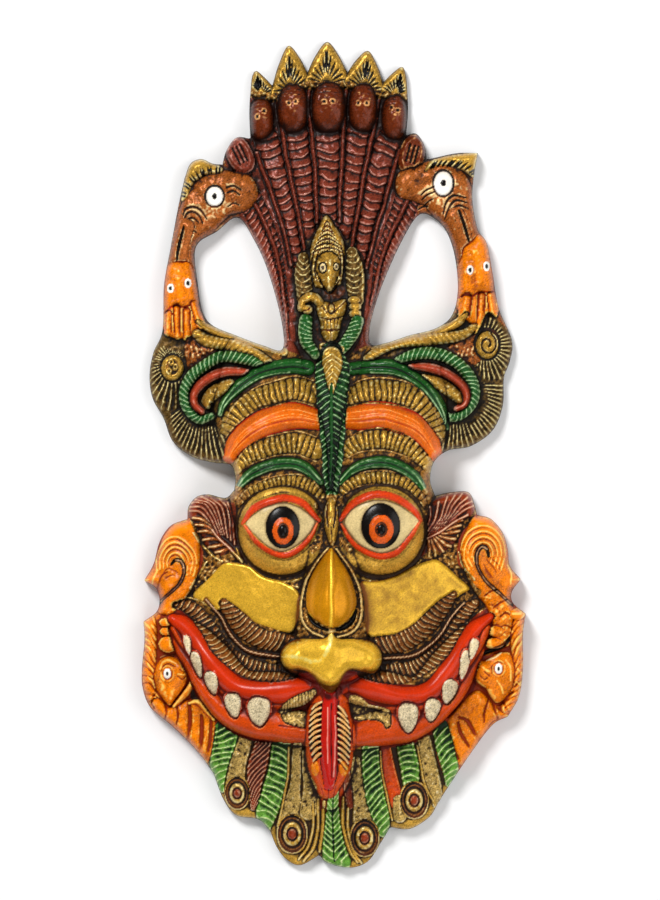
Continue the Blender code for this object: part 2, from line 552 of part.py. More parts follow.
def brow(relief):
    """Rings round the two brow columns, from the crest down to the eyelids."""
    left = (
        ([(-57.4, 17.4, 6), (-50.4, 30.4, 6.5), (-35.9, 41.9, 6.5), (-11.9, 47.4, 6)], 2.6, 0),
        ([(-52.9, 13.4, 9), (-40.9, 26.4, 9.5), (-24.4, 31.9, 9.5), (-9.9, 28.9, 9)], 2.6, 1.0),
        ([(-51.4, -0.1, 10), (-39.4, 14.4, 11.5), (-22.9, 19.4, 11.5), (-8.4, 14.4, 11)], 2.8, 0),
        ([(-48.9, -7.6, 7.5), (-37.9, 3.9, 8.5), (-22.9, 8.4, 8.5), (-8.4, 1.9, 8)], 2.4, 1.0),
        ([(-48.9, -16.6, 5.5), (-38.4, -6.1, 6), (-22.9, -3.1, 6), (-7.4, -13.6, 5.5)], 2.6, 0),
        ([(-45.9, -22.6, 5.5), (-35.9, -14.1, 6), (-21.9, -11.1, 6), (-8.9, -18.6, 5.5)], 2.6, 0.8),
        ([(-45.4, -29.6, 4), (-37.9, -20.6, 4), (-24.9, -16.6, 4), (-8.9, -25.6, 4)], 2.2, 0),
    )
    right = (
        ([(7.1, 40.9, 6), (22.1, 44.4, 6.5), (40.1, 39.4, 6.5), (55.1, 17.4, 6)], 2.6, 0),
        ([(5.1, 26.4, 9), (19.1, 31.9, 9.5), (36.1, 28.9, 9.5), (51.6, 11.4, 9)], 2.6, 1.0),
        ([(4.1, 14.4, 11), (19.1, 19.4, 11.5), (35.1, 15.4, 11.5), (49.6, 0.4, 10)], 2.8, 0),
        ([(3.6, 2.9, 8), (18.1, 8.4, 8.5), (34.1, 5.9, 8.5), (48.1, -8.6, 7.5)], 2.4, 1.0),
        ([(3.6, -10.6, 5.5), (18.1, -2.6, 6), (33.1, -4.6, 6), (45.6, -19.1, 5.5)], 2.6, 0),
        ([(4.6, -16.6, 5.5), (18.1, -10.6, 6), (31.1, -12.6, 6), (42.1, -22.1, 5.5)], 2.6, 0.8),
        ([(4.1, -23.6, 4), (20.1, -15.6, 4), (33.1, -17.6, 4), (42.6, -26.6, 4)], 2.2, 0),
    )
    for rows, rise, rib in left + right:
        relief.band(rows, rise, rib=rib, pitch=4.4)


def eye(relief, centre, upper, lower, lid):
    """A staring eye: ball, dished iris with its pupil, rims above and below, and the lower lid."""
    relief.oval(centre, (19, 15), 1.5)
    relief.oval(centre, (9.5, 11.5), 1.4, lift=1.6)
    relief.oval(centre, (6.5, 8), 1.2, lift=2.6)
    relief.oval(centre, (3.2, 3.8), 1.2, lift=3.8)
    relief.band(upper, 2.4, sink=-0.8)
    relief.band(lower, 2.0, sink=-0.8)
    relief.band(lid, 2.2, sink=0)


def face(relief):
    """Eyes, nose, cheeks and the leaf ears beside them."""
    eye(
        relief,
        (-25.4, -36.6),
        [
            (-43.9, -33.6, 3.5), (-35.9, -24.1, 4.5), (-24.4, -20.1, 4.5), (-15.4, -23.6, 4.5),
            (-7.4, -32.6, 3.5),
        ],
        [
            (-42.9, -38.6, 2.5), (-35.9, -46.1, 3), (-24.9, -50.1, 3), (-15.9, -45.6, 3),
            (-7.9, -34.6, 2.5),
        ],
        [(-41.9, -45.6, 4), (-32.9, -53.6, 4.5), (-20.9, -54.1, 4.5), (-10.9, -45.6, 4)],
    )
    eye(
        relief,
        (23.1, -36.6),
        [
            (3.6, -29.6, 3.5), (11.6, -21.6, 4.5), (23.1, -19.1, 4.5), (33.6, -22.6, 4.5),
            (42.6, -32.1, 3.5),
        ],
        [
            (3.6, -35.6, 2.5), (12.1, -45.6, 3), (22.6, -50.1, 3), (33.1, -46.1, 3),
            (41.6, -36.1, 2.5),
        ],
        [(6.1, -45.1, 4), (16.1, -53.6, 4.5), (30.1, -54.1, 4.5), (40.1, -44.6, 4)],
    )
    relief.patch([
        (-1.4, -20.6), (1.1, -27.6), (1.6, -36.6), (-0.9, -43.6), (-3.9, -36.6), (-3.9, -27.6),
    ], 3, edge=3)
    # Nose: a drop with a double rim, its nostrils, and the bow-shaped bulb below
    relief.patch([
        (-1.4, -45.6), (4.1, -58.6), (9.6, -71.1), (9.1, -80.1), (-0.9, -84.1), (-11.4, -80.1),
        (-12.4, -71.1), (-6.4, -58.6),
    ], 3.5, edge=5)
    relief.band([
        (-2.9, -46.6, 3), (-10.9, -60.6, 3.5), (-15.4, -73.6, 4), (-12.9, -83.6, 4),
        (-3.9, -87.6, 3),
    ], 2.4, sink=-0.5)
    relief.band([
        (0.1, -46.6, 3), (8.1, -59.6, 3.5), (12.6, -73.6, 4), (10.1, -84.6, 4), (1.1, -87.6, 3),
    ], 2.4, sink=-0.5)
    relief.patch([
        (-1.4, -91.1), (-10.9, -89.6), (-21.9, -93.1), (-25.9, -100.6), (-21.4, -107.6),
        (-12.9, -106.1), (-7.9, -111.6), (-1.9, -116.1), (4.1, -111.6), (9.1, -106.1),
        (19.1, -109.1), (23.6, -100.6), (18.1, -93.6), (7.1, -90.1),
    ], 3.6, edge=5)
    for cheek in (
        [
            (-69.9, -68.1), (-58.9, -57.6), (-47.9, -54.1), (-37.9, -56.6), (-25.9, -64.1),
            (-17.9, -70.6), (-18.4, -83.6), (-25.9, -88.1), (-38.4, -84.6), (-46.9, -76.6),
            (-59.4, -75.6),
        ],
        [
            (69.1, -66.1), (58.1, -56.1), (49.1, -52.6), (39.1, -56.6), (26.1, -62.6),
            (15.1, -66.6), (14.6, -83.6), (23.1, -90.6), (34.1, -87.6), (44.1, -78.6),
            (56.1, -74.1),
        ],
    ):
        relief.patch(cheek, 2.6, edge=4)
    # Moustache: two ribbed locks a side with a cord between them
    locks = (
        ([(-52.9, -75.6, 7), (-43.9, -87.6, 9.5), (-29.4, -93.6, 9.5), (-19.9, -94.1, 6)], 3, 1.0, 0),
        ([(-78.9, -75.6, 4), (-63.4, -82.6, 7.5), (-47.9, -100.1, 8), (-28.9, -106.1, 6)], 3, 1.0, 0),
        ([(-64.4, -74.6, 2.5), (-52.9, -89.6, 3), (-38.9, -98.6, 3), (-24.9, -100.6, 2.5)], 2.4, 0, -1),
        ([(51.1, -75.6, 7), (41.1, -89.6, 9), (29.1, -95.1, 9), (20.1, -95.1, 6)], 3, 1.0, 0),
        ([(72.1, -73.6, 4), (59.1, -88.6, 7.5), (45.1, -102.6, 8), (25.1, -107.1, 6)], 3, 1.0, 0),
        ([(63.6, -76.1, 2.5), (51.1, -90.6, 3), (38.1, -100.1, 3), (24.1, -101.1, 2.5)], 2.4, 0, -1),
    )
    for rows, rise, rib, sink in locks:
        relief.band(rows, rise, sink=sink, rib=rib, pitch=2.3, slant=1)
    ears = (
        ([
            (-72.9, -27.6), (-66.9, -21.6), (-52.9, -23.1), (-46.9, -24.6), (-43.4, -52.6),
            (-55.9, -52.1), (-64.4, -46.1), (-70.9, -36.6),
        ], (-50.9, -43.6), [(-70.9, -26.6), (-61.9, -22.6), (-52.9, -23.6)]),
        ([
            (71.1, -26.6), (65.1, -20.1), (53.1, -21.6), (49.1, -24.1), (43.1, -49.6),
            (53.1, -50.1), (61.1, -44.1), (68.1, -34.6),
        ], (45.1, -41.6), [(68.6, -23.6), (60.6, -20.6), (52.1, -22.1)]),
    )
    for rows, root, tips in ears:
        relief.patch(rows, 2.0, edge=3)
        fan(relief, root, tips, 3.0, 5.0)


def mouth(relief):
    """Lips that meet at a seam, the teeth over it, and the tongue that hangs over the lower lip."""
    lower = (
        [
            (-80.9, -87.6, 4.5), (-75.9, -98.6, 6.5), (-70.9, -106.6, 8), (-63.9, -116.6, 11),
            (-54.9, -126.1, 14), (-43.9, -131.1, 20), (-28.9, -133.1, 20), (-13.9, -137.1, 13),
        ],
        [
            (76.6, -86.6, 4), (71.1, -100.6, 5.5), (65.1, -113.6, 8), (58.1, -122.6, 10),
            (50.1, -128.6, 13), (39.1, -133.6, 19), (26.1, -135.1, 20), (10.1, -139.1, 12),
        ],
    )
    upper = (
        [
            (-80.4, -82.1, 6), (-72.9, -86.1, 9), (-65.9, -96.6, 11), (-58.9, -106.6, 11),
            (-48.9, -114.6, 10), (-37.9, -117.1, 10.5), (-26.9, -117.6, 13), (-16.9, -114.6, 8),
            (-5.9, -117.6, 4.5),
        ],
        [
            (78.1, -80.6, 4.5), (69.1, -87.6, 8.5), (62.6, -98.6, 10), (56.6, -108.1, 10.5),
            (48.1, -117.1, 10), (35.1, -119.6, 10), (22.1, -117.6, 10), (11.1, -115.6, 7.5),
            (2.1, -117.6, 4.5),
        ],
    )
    for rows in lower + upper:
        relief.band(rows, 3.4, sink=0.4)
    for gum in ([
        (-25.4, -125.6), (-18.9, -120.1), (-11.9, -118.1), (-13.4, -132.6), (-21.9, -132.6),
    ], [
        (10.1, -121.6), (16.1, -123.6), (26.6, -126.6), (27.1, -133.1), (17.1, -130.6),
        (10.6, -129.1),
    ]):
        relief.patch(gum, 1.0, edge=2, sink=1.5)
    teeth = (
        ((-72.9, -95.4), (1.8, 4.8), 14), ((-68.1, -104.1), (2.4, 6.6), 16),
        ((-61.1, -114.1), (3.1, 5.8), 14), ((-50.1, -124.6), (4.0, 6.0), 10),
        ((-37.4, -127.4), (5.7, 7.2), 0), ((36.6, -130.6), (5.1, 7.2), 0),
        ((48.6, -126.9), (3.9, 5.8), -10), ((57.1, -117.9), (3.8, 6.0), -14),
        ((64.6, -104.6), (2.4, 7.4), -6), ((69.1, -96.6), (2.2, 5.4), -14),
    )
    for centre, radii, turn in teeth:
        relief.oval(centre, radii, 2.6, turn=turn, lift=2.6)
    relief.band([
        (-2.9, -117.6, 9), (-1.9, -125.1, 19), (-1.9, -137.6, 23.5), (-1.9, -151.1, 23),
        (-1.9, -162.6, 17), (-1.9, -171.1, 5),
    ], 3.4, sink=0)
    # Cuts that slant outwards from the tongue's middle, one pair under another
    middle, first, apart = -1.9, -128.6, 5.2
    for side in (-1, 1):
        for k in range(8):
            y = first - apart * k
            relief.cut([(middle + side * 3, y - 2, 1.6), (middle + side * 10, y + 3, 1.6)], 1.4)
    relief.band([(-2.9, -119.6, 4), (-2.4, -137.6, 6), (-1.9, -167.6, 4)], 1.2, sink=-3)


def beard(relief):
    """Feathers that hang from the lower lip, four of them ending in a ringed eye."""
    quills = (
        ([(-52.4, -140.1, 6), (-56.4, -150.1, 6.5), (-57.4, -160.6, 6)], 1.0),
        ([(-45.4, -143.6, 5), (-48.4, -155.1, 6), (-48.9, -167.6, 8)], 0.0),
        ([(-35.9, -144.6, 8), (-38.4, -156.6, 6.5), (-40.4, -175.6, 4)], 1.0),
        ([(-27.4, -145.1, 7.5), (-30.4, -160.1, 8.5), (-34.9, -184.6, 10)], 1.0),
        ([(-18.9, -145.1, 5), (-19.4, -160.1, 5.5), (-20.4, -185.1, 7)], 0.0),
        ([(-13.9, -153.6, 6), (-11.4, -172.6, 6.5), (-9.9, -197.6, 7.5)], 0.0),
        ([(-0.9, -171.6, 4), (-0.9, -185.1, 7), (-0.4, -203.6, 10)], 1.0),
        ([(10.1, -153.6, 6), (10.1, -172.6, 6.5), (8.1, -198.6, 7)], 0.0),
        ([(18.1, -147.6, 8), (20.1, -165.1, 9), (25.1, -189.6, 10)], 1.0),
        ([(26.6, -146.6, 4.5), (28.6, -160.1, 5), (31.6, -175.6, 4.5)], 0.0),
        ([(35.1, -146.6, 8), (38.1, -158.6, 8.5), (40.1, -172.6, 9)], 1.0),
        ([(45.1, -145.1, 5.5), (49.6, -158.6, 6), (52.1, -173.6, 5)], 0.0),
        ([(51.6, -138.6, 6), (55.6, -150.1, 6.5), (58.1, -162.6, 5)], 1.0),
    )
    for rows, rib in quills:
        relief.band(rows, 3.0, sink=0.4, rib=rib, pitch=2.6, bow=-4)
    for centre in ((-48.9, -169.6), (-21.4, -189.6), (15.6, -191.6), (40.1, -173.1)):
        relief.oval(centre, (6.4, 8.2), 2.4, lift=1.6)
        relief.oval(centre, (4.6, 6.2), 0.8, lift=3.2)
        relief.oval(centre, (2.4, 2.6), 1.8, lift=4.2)


def side_beasts(relief):
    """The curled scrolls beside the cheeks and the couched beasts under them."""
    coils = (
        [
            (-73.9, -68.6, 8), (-68.9, -55.6, 9), (-71.9, -43.6, 9), (-80.9, -40.6, 8),
            (-86.9, -46.6, 7.5), (-87.9, -56.6, 7.5), (-80.9, -60.1, 7), (-76.9, -53.6, 5),
        ],
        [(-91.9, -63.6, 6), (-82.9, -68.6, 7.5), (-74.9, -70.6, 7)],
        [
            (68.1, -66.6, 8), (66.1, -52.6, 9), (69.1, -40.6, 9), (77.1, -36.6, 8),
            (83.1, -42.6, 7.5), (83.1, -52.6, 7.5), (77.1, -57.6, 6), (74.1, -50.6, 5),
        ],
        [(89.1, -62.6, 5), (83.1, -70.6, 7.5), (77.1, -67.6, 7)],
        [(72.1, -71.6, 8), (81.1, -78.6, 7.5), (84.6, -89.6, 7), (83.1, -96.6, 6)],
        [(92.1, -81.6, 6), (90.1, -90.6, 6), (89.1, -97.6, 5)],
        [(-81.9, -72.6, 8), (-86.9, -83.6, 7.5), (-88.9, -92.6, 6)],
        [(-66.9, -124.6, 7), (-71.9, -136.6, 8), (-63.9, -148.6, 8)],
        [(64.1, -125.6, 7), (70.1, -136.6, 8), (64.1, -149.6, 8)],
        [(-90.9, -103.6, 5), (-91.9, -117.6, 5), (-86.9, -126.6, 6)],
        [(91.1, -103.6, 5), (90.1, -117.6, 5), (85.1, -125.6, 6)],
    )
    for rows in coils:
        relief.band(rows, 5.0, sink=-0.5)
    for head, eye_at, tusk in (
        ((-81.9, -112.6), (-83.4, -109.1), [
            (-73.9, -112.6, 4), (-76.9, -121.6, 3.5), (-80.9, -125.1, 2.5),
        ]),
        ((81.6, -112.6), (82.4, -106.1), [
            (73.1, -111.6, 4), (76.1, -119.6, 3.5), (80.1, -123.6, 2.5),
        ]),
    ):
        relief.oval(head, (8.5, 12.5), 7, lift=1)
        relief.oval(eye_at, (2.4, 3.2), 2, lift=7)
        relief.band(tusk, 3, sink=-2)


def finish_edge(relief, outer, gaps):
    """Depth inside the casting at every place, and the front rounded down to the edge's thickness."""
    part, depth = relief.depth_in(outer)
    inside = np.full(relief.z.shape, -MARGIN)
    inside[part] = depth
    for gap in gaps:
        part, depth = relief.depth_in(gap)
        inside[part] = np.minimum(inside[part], -depth)
    lip = EDGE * TALLEST / DEPTH
    rounding = np.sqrt(1 - (1 - np.clip(inside / ROUND_OVER, 0, 1)) ** 2)
    relief.z = lip + np.maximum(relief.z - lip, 0) * rounding
    return inside


def softened(field, reach):
    """The field averaged over a few places each way, twice."""
    count = max(1, round(reach / PITCH))
    for _ in range(2):
        for axis in (0, 1):
            shifted = [np.roll(field, k, axis) for k in range(-count, count + 1)]
            field = sum(shifted) / len(shifted)
    return field


def hollow_behind(relief, inside, scale, up):
    """The back's height: flat on the rim, then up inside, one wall under the softened front."""
    lowest = np.minimum(relief.z, relief.ground)
    for _ in range(round(LOWEST_FIRST * SMOOTHED_BEHIND / PITCH)):
        for axis in (0, 1):
            beside = np.minimum(np.roll(lowest, 1, axis), np.roll(lowest, -1, axis))
            lowest = np.minimum(lowest, beside)
    under = softened(lowest, SMOOTHED_BEHIND) * up - WALL
    slope = (inside * scale - RIM) * LEAN_BEHIND
    return np.clip(np.minimum(under, slope), 0, None)


def cells_inside(inside):
    """Which lattice squares are kept: none that touch another only at a corner."""
    middle = (inside[1:, 1:] + inside[:-1, 1:] + inside[1:, :-1] + inside[:-1, :-1]) / 4
    keep = middle > 0
    enough = 4
    for _ in range(enough):
        a, b, c, d = keep[:-1, :-1], keep[:-1, 1:], keep[1:, :-1], keep[1:, 1:]
        crossed = (a & d & ~b & ~c) | (b & c & ~a & ~d)
        for rows, columns in ((np.s_[:-1], np.s_[:-1]), (np.s_[:-1], np.s_[1:])):
            keep[rows, columns] |= crossed
    return keep


def sampled(field, relief, x, y):
    """The field's value at places between the lattice's own, all short of its last row and column."""
    short_of_last = 1.001
    u = np.clip((x - relief.x[0]) / PITCH, 0, len(relief.x) - short_of_last)
    v = np.clip((y - relief.y[0]) / PITCH, 0, len(relief.y) - short_of_last)
    i, j = u.astype(int), v.astype(int)
    u, v = u - i, v - j
    low = field[j, i] * (1 - u) + field[j, i + 1] * u
    high = field[j + 1, i] * (1 - u) + field[j + 1, i + 1] * u
    return low * (1 - v) + high * v


def to_edge(point, edge):
    """The place on a closed run of points nearest a point."""
    start, run = edge, np.roll(edge, -1, 0) - edge
    share = ((point - start) * run).sum(1) / (run * run).sum(1)
    near = start + np.clip(share, 0, 1)[:, None] * run
    return near[np.argmin(((near - point) ** 2).sum(1))]


def facets_in_order(bm):
    """Each facet as the numbers of its corners, lowest first, in an order that never changes."""
    bm.verts.index_update()
    facets = []
    for facet in bm.faces:
        corners = [vert.index for vert in facet.verts]
        lowest = corners.index(min(corners))
        facets.append(corners[lowest:] + corners[:lowest])
    return sorted(facets)


def cast(relief, outer, gaps, name):
    """The closed casting: the lattice trimmed to the silhouette, given its back, and set to height."""
    inside = finish_edge(relief, outer, gaps)
    scale = HEIGHT / (outer[:, 1].max() - outer[:, 1].min())
    up = DEPTH / TALLEST
    back = hollow_behind(relief, inside, scale, up)
    keep = cells_inside(inside)
    edges = np.vstack([outer, *gaps])
    centre = 0.5 * (outer.min(0) + outer.max(0))[:2]

    bm = bmesh.new()
    rows, columns = keep.shape
    bmesh.ops.create_grid(bm, x_segments=columns, y_segments=rows, size=0.5)
    low = np.array([relief.x[0], relief.y[0]])
    size = np.array([relief.x[-1], relief.y[-1]]) - low
    spare = []
    for square in bm.faces:
        middle = square.calc_center_median()
        column = int((middle.x + 0.5) * columns)
        row = int((middle.y + 0.5) * rows)
        if not keep[row, column]:
            spare.append(square)
    bmesh.ops.delete(bm, geom=spare, context="FACES")
    for vert in bm.verts:
        vert.co.x, vert.co.y = low + (np.array(vert.co[:2]) + 0.5) * size
    loops = [outer, *gaps]
    for vert in bm.verts:
        if vert.is_boundary:
            point = np.array(vert.co[:2])
            nearest = min((to_edge(point, loop[:, :2]) for loop in loops),
                          key=lambda near: ((near - point) ** 2).sum())
            vert.co.x, vert.co.y = nearest
    bmesh.ops.dissolve_degenerate(bm, dist=SHORTEST_SIDE, edges=bm.edges)
    front = bmesh.ops.extrude_face_region(bm, geom=bm.faces[:], use_keep_orig=True)
    raised = {v for v in front["geom"] if isinstance(v, bmesh.types.BMVert)}
    verts = list(bm.verts)
    x, y = np.array([v.co[:2] for v in verts]).T
    tops = sampled(relief.z, relief, x, y) * up
    backs = sampled(back, relief, x, y)
    for vert, at_x, at_y, top, under in zip(verts, x, y, tops, backs):
        on_rim = any(edge.is_boundary or len(edge.link_faces) != 2 for edge in vert.link_edges)
        height = top if vert in raised else (0 if on_rim else under)
        vert.co = ((at_x - centre[0]) * scale, (at_y - centre[1]) * scale, height)
    bmesh.ops.recalc_face_normals(bm, faces=bm.faces)
    facets = facets_in_order(bm)
    mesh = bpy.data.meshes.new(name)
    mesh.from_pydata([vert.co for vert in bm.verts], [], facets)
    bm.free()
    triangles = sum(len(corners) - 2 for corners in facets)
    return seated(bpy.data.objects.new(name, mesh), triangles)


def seated(obj, triangles):
    """The casting in its final number of facets, centred, its rim set flat on the floor."""
    bpy.context.scene.collection.objects.link(obj)
    thin = obj.modifiers.new("Facets", "DECIMATE")
    thin.ratio = FACETS / triangles
    graph = bpy.context.evaluated_depsgraph_get()
    mesh = bpy.data.meshes.new_from_object(obj.evaluated_get(graph))
    obj.modifiers.clear()
    bpy.context.scene.collection.objects.unlink(obj)
    obj.data = mesh
    places = np.array([vert.co[:2] for vert in mesh.vertices])
    middle = 0.5 * (places.min(0) + places.max(0))
    for vert in mesh.vertices:
        vert.co.x -= middle[0]
        vert.co.y -= middle[1]
        if vert.co.z < SEAT:
            vert.co.z = 0
    return obj


def brass():
    """Cast brass, left bright."""
    material = bpy.data.materials.new("cast_brass")
    material.use_nodes = True
    shader = material.node_tree.nodes["Principled BSDF"]
    shader.inputs["Base Color"].default_value = BRASS
    shader.inputs["Metallic"].default_value = 1.0
    shader.inputs["Roughness"].default_value = 0.4
    return material


def main():
    for obj in list(bpy.data.objects):
        bpy.data.objects.remove(obj)
    collection = bpy.data.collections.new("kirtimukha_mask")
    bpy.context.scene.collection.children.link(collection)
    outer, *gaps = silhouette()
    relief = Relief(outer.min(0), outer.max(0))
    lay_ground(relief)
    hood(relief)
    handles(relief)
    wings(relief)
    brow(relief)
    little_figure(relief)
    side_beasts(relief)
    beard(relief)
    mouth(relief)
    face(relief)
    mask = cast(relief, outer, gaps, "mask")
    mask.data.materials.append(brass())
    collection.objects.link(mask)


main()
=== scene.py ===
"""Looks of the kirtimukha mask: its carving in full detail, and its paint, brass and dark wash, with
shade and highlights painted in.

The carving is worked over a fine lattice on a drawing of the mask. A unit of the drawing is half a
millimetre, its origin lies midway, and heights are in millimetres. Each form is laid on in its own
finish, and the whole is then cut into the pieces that show.
"""

import math

import bmesh
import bpy
import numpy as np
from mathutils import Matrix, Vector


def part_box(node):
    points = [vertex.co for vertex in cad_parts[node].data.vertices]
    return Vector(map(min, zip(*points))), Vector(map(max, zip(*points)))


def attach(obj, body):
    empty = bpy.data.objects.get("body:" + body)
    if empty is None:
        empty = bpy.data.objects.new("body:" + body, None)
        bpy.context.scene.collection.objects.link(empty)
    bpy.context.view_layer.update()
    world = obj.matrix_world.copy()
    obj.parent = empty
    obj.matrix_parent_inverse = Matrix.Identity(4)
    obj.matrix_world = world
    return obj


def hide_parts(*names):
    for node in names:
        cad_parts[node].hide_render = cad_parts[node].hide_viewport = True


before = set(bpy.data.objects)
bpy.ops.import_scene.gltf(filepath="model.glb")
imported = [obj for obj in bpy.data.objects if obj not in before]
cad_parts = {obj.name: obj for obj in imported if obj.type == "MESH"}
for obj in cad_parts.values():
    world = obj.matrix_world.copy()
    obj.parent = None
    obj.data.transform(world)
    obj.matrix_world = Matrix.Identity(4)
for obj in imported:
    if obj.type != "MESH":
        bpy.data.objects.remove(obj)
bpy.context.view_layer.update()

# How finely the front is worked, in units of the drawing; the back has half as many places
PITCH = 0.8
STEP = 2.4
MARGIN = 6.4

# A length longer than any on the drawing, one too short to matter, and a facet's shortest side
FAR = 1e4
TINY = 1e-9
SHORTEST_SIDE = 0.04

# Sizes of the casting: heights and the wall in millimetres, places in units of the drawing
LIP = 4.0
WALL = 4.5
ROUND_OVER = 8.0
RIM = 12.0
LEAN_BEHIND = 0.9
SMOOTHED_BEHIND = 6.4
LOWEST_FIRST = 0.7
ROUGH_BEHIND = 0.25
DEEPEST_IN = 68.0

# How far hand work strays: sway of a form's line, waver of its ribs, depth of the moat round it
SWAY = 0.35
WAVER = 0.14
MOAT = 1.1

# Across a band, in half widths: where its raised edges run, and how broad they and a groove are
EDGE_AT = 0.86
EDGE_BROAD = 0.1
GROOVE_BROAD = 0.16

# Shares of the solid's box that the carving fills, across and upwards, and a millimetre in metres
FILLS_ACROSS = 0.9995
FILLS_UP = 0.999
MILLIMETRE = 0.001

# Each finish: its colour, where wear shows or a highlight is painted, in its creases under the wash and
# painted shade; how much is bare brass, its roughness and how far its skin is pitted, in millimetres
FINISHES = {
    "dark_brass": ((142, 96, 36), (240, 210, 136), (30, 15, 5), 0.35, 0.40, 0.20),
    "maroon": ((114, 48, 32), (232, 170, 150), (24, 6, 3), 0.1, 0.26, 0.10),
    "serpent_brown": ((92, 34, 8), (240, 176, 110), (26, 8, 4), 0.1, 0.26, 0.07),
    "pale_gold": ((166, 126, 46), (254, 238, 168), (28, 15, 4), 0.4, 0.32, 0.09),
    "old_gold": ((196, 150, 56), (250, 230, 160), (44, 25, 7), 0.3, 0.36, 0.06),
    "gritty_gold": ((178, 146, 78), (252, 232, 176), (36, 20, 9), 0.3, 0.40, 0.13),
    "gold": ((214, 166, 46), (255, 240, 140), (112, 60, 5), 0.3, 0.26, 0.03),
    "amber": ((186, 122, 6), (252, 212, 66), (112, 58, 3), 0.35, 0.26, 0.0),
    "copper": ((150, 80, 28), (252, 220, 156), (36, 13, 5), 0.2, 0.32, 0.13),
    "umber": ((84, 40, 16), (214, 172, 124), (14, 6, 3), 0.1, 0.34, 0.06),
    "orange": ((214, 112, 0), (255, 222, 110), (134, 40, 3), 0.0, 0.30, 0.06),
    "band_orange": ((206, 92, 4), (255, 196, 110), (160, 28, 4), 0.0, 0.30, 0.03),
    "lip_red": ((184, 42, 4), (252, 160, 130), (84, 8, 3), 0.0, 0.24, 0.0),
    "lip_orange": ((190, 62, 4), (252, 150, 80), (90, 14, 3), 0.0, 0.28, 0.03),
    "tongue_red": ((176, 22, 10), (252, 180, 160), (60, 3, 2), 0.0, 0.22, 0.0),
    "scroll_red": ((146, 52, 28), (250, 186, 160), (50, 12, 6), 0.0, 0.26, 0.06),
    "cream": ((208, 154, 86), (250, 228, 172), (110, 36, 12), 0.1, 0.34, 0.0),
    "green": ((22, 72, 24), (196, 232, 170), (3, 14, 5), 0.0, 0.24, 0.04),
    "leaf_green": ((92, 142, 48), (236, 246, 176), (5, 34, 8), 0.0, 0.32, 0.09),
    "chestnut": ((126, 72, 26), (252, 224, 158), (26, 11, 3), 0.3, 0.32, 0.09),
    "olive": ((98, 72, 30), (240, 222, 154), (20, 13, 6), 0.4, 0.40, 0.12),
    "ear_red": ((124, 46, 18), (240, 196, 156), (36, 8, 4), 0.1, 0.28, 0.06),
    "ivory": ((206, 188, 150), (248, 242, 224), (70, 50, 28), 0.0, 0.36, 0.10),
    "eye_white": ((208, 184, 128), (246, 238, 208), (100, 68, 34), 0.0, 0.26, 0.02),
    "chalk": ((240, 232, 220), (255, 255, 248), (140, 110, 84), 0.0, 0.34, 0.0),
    "black": ((12, 7, 5), (90, 66, 50), (4, 2, 1), 0.0, 0.22, 0.0),
    "eye_orange": ((204, 82, 16), (248, 160, 80), (96, 20, 4), 0.0, 0.26, 0.05),
    "vermilion": ((190, 52, 10), (248, 140, 80), (84, 14, 4), 0.0, 0.28, 0.04),
}
NAMES = list(FINISHES)
BARE, ROUGH, TOOTH = 3, 4, 5


def curve(rows, closed=False):
    """Rows every STEP or so along a smooth curve through rows of x, y and whatever else they hold."""
    rows = np.array(rows, float)
    if closed:
        rows = np.vstack([rows[-1:], rows, rows[:2]])
    else:
        rows = np.vstack([2 * rows[0] - rows[1], rows, 2 * rows[-1] - rows[-2]])
    found = []
    for a, b, c, d in zip(rows, rows[1:], rows[2:], rows[3:]):
        count = max(1, round(math.hypot(*(c - b)[:2]) / STEP))
        u = np.arange(count)[:, None] / count
        bend = (2 * a - 5 * b + 4 * c - d) * u**2 + (3 * b - a - 3 * c + d) * u**3
        found.append(0.5 * (2 * b + (c - a) * u + bend))
    if not closed:
        found.append(rows[-2:-1])
    return np.vstack(found)


def leaf(left, tip, right):
    """A pointed leaf's side, tip and side, each side swelling out a little."""
    left, tip, right = (np.array(p, float) for p in (left, tip, right))
    width = right - left
    return [left, left + 0.55 * (tip - left) - 0.07 * width, tip,
            right + 0.55 * (tip - right) + 0.07 * width, right]


def softened(field, reach):
    """The field averaged over the places within reach each way, twice."""
    count = max(1, round(reach / PITCH))
    for _ in range(2):
        for axis in (0, 1):
            shifted = [np.roll(field, k, axis) for k in range(-count, count + 1)]
            field = sum(shifted) / len(shifted)
    return field


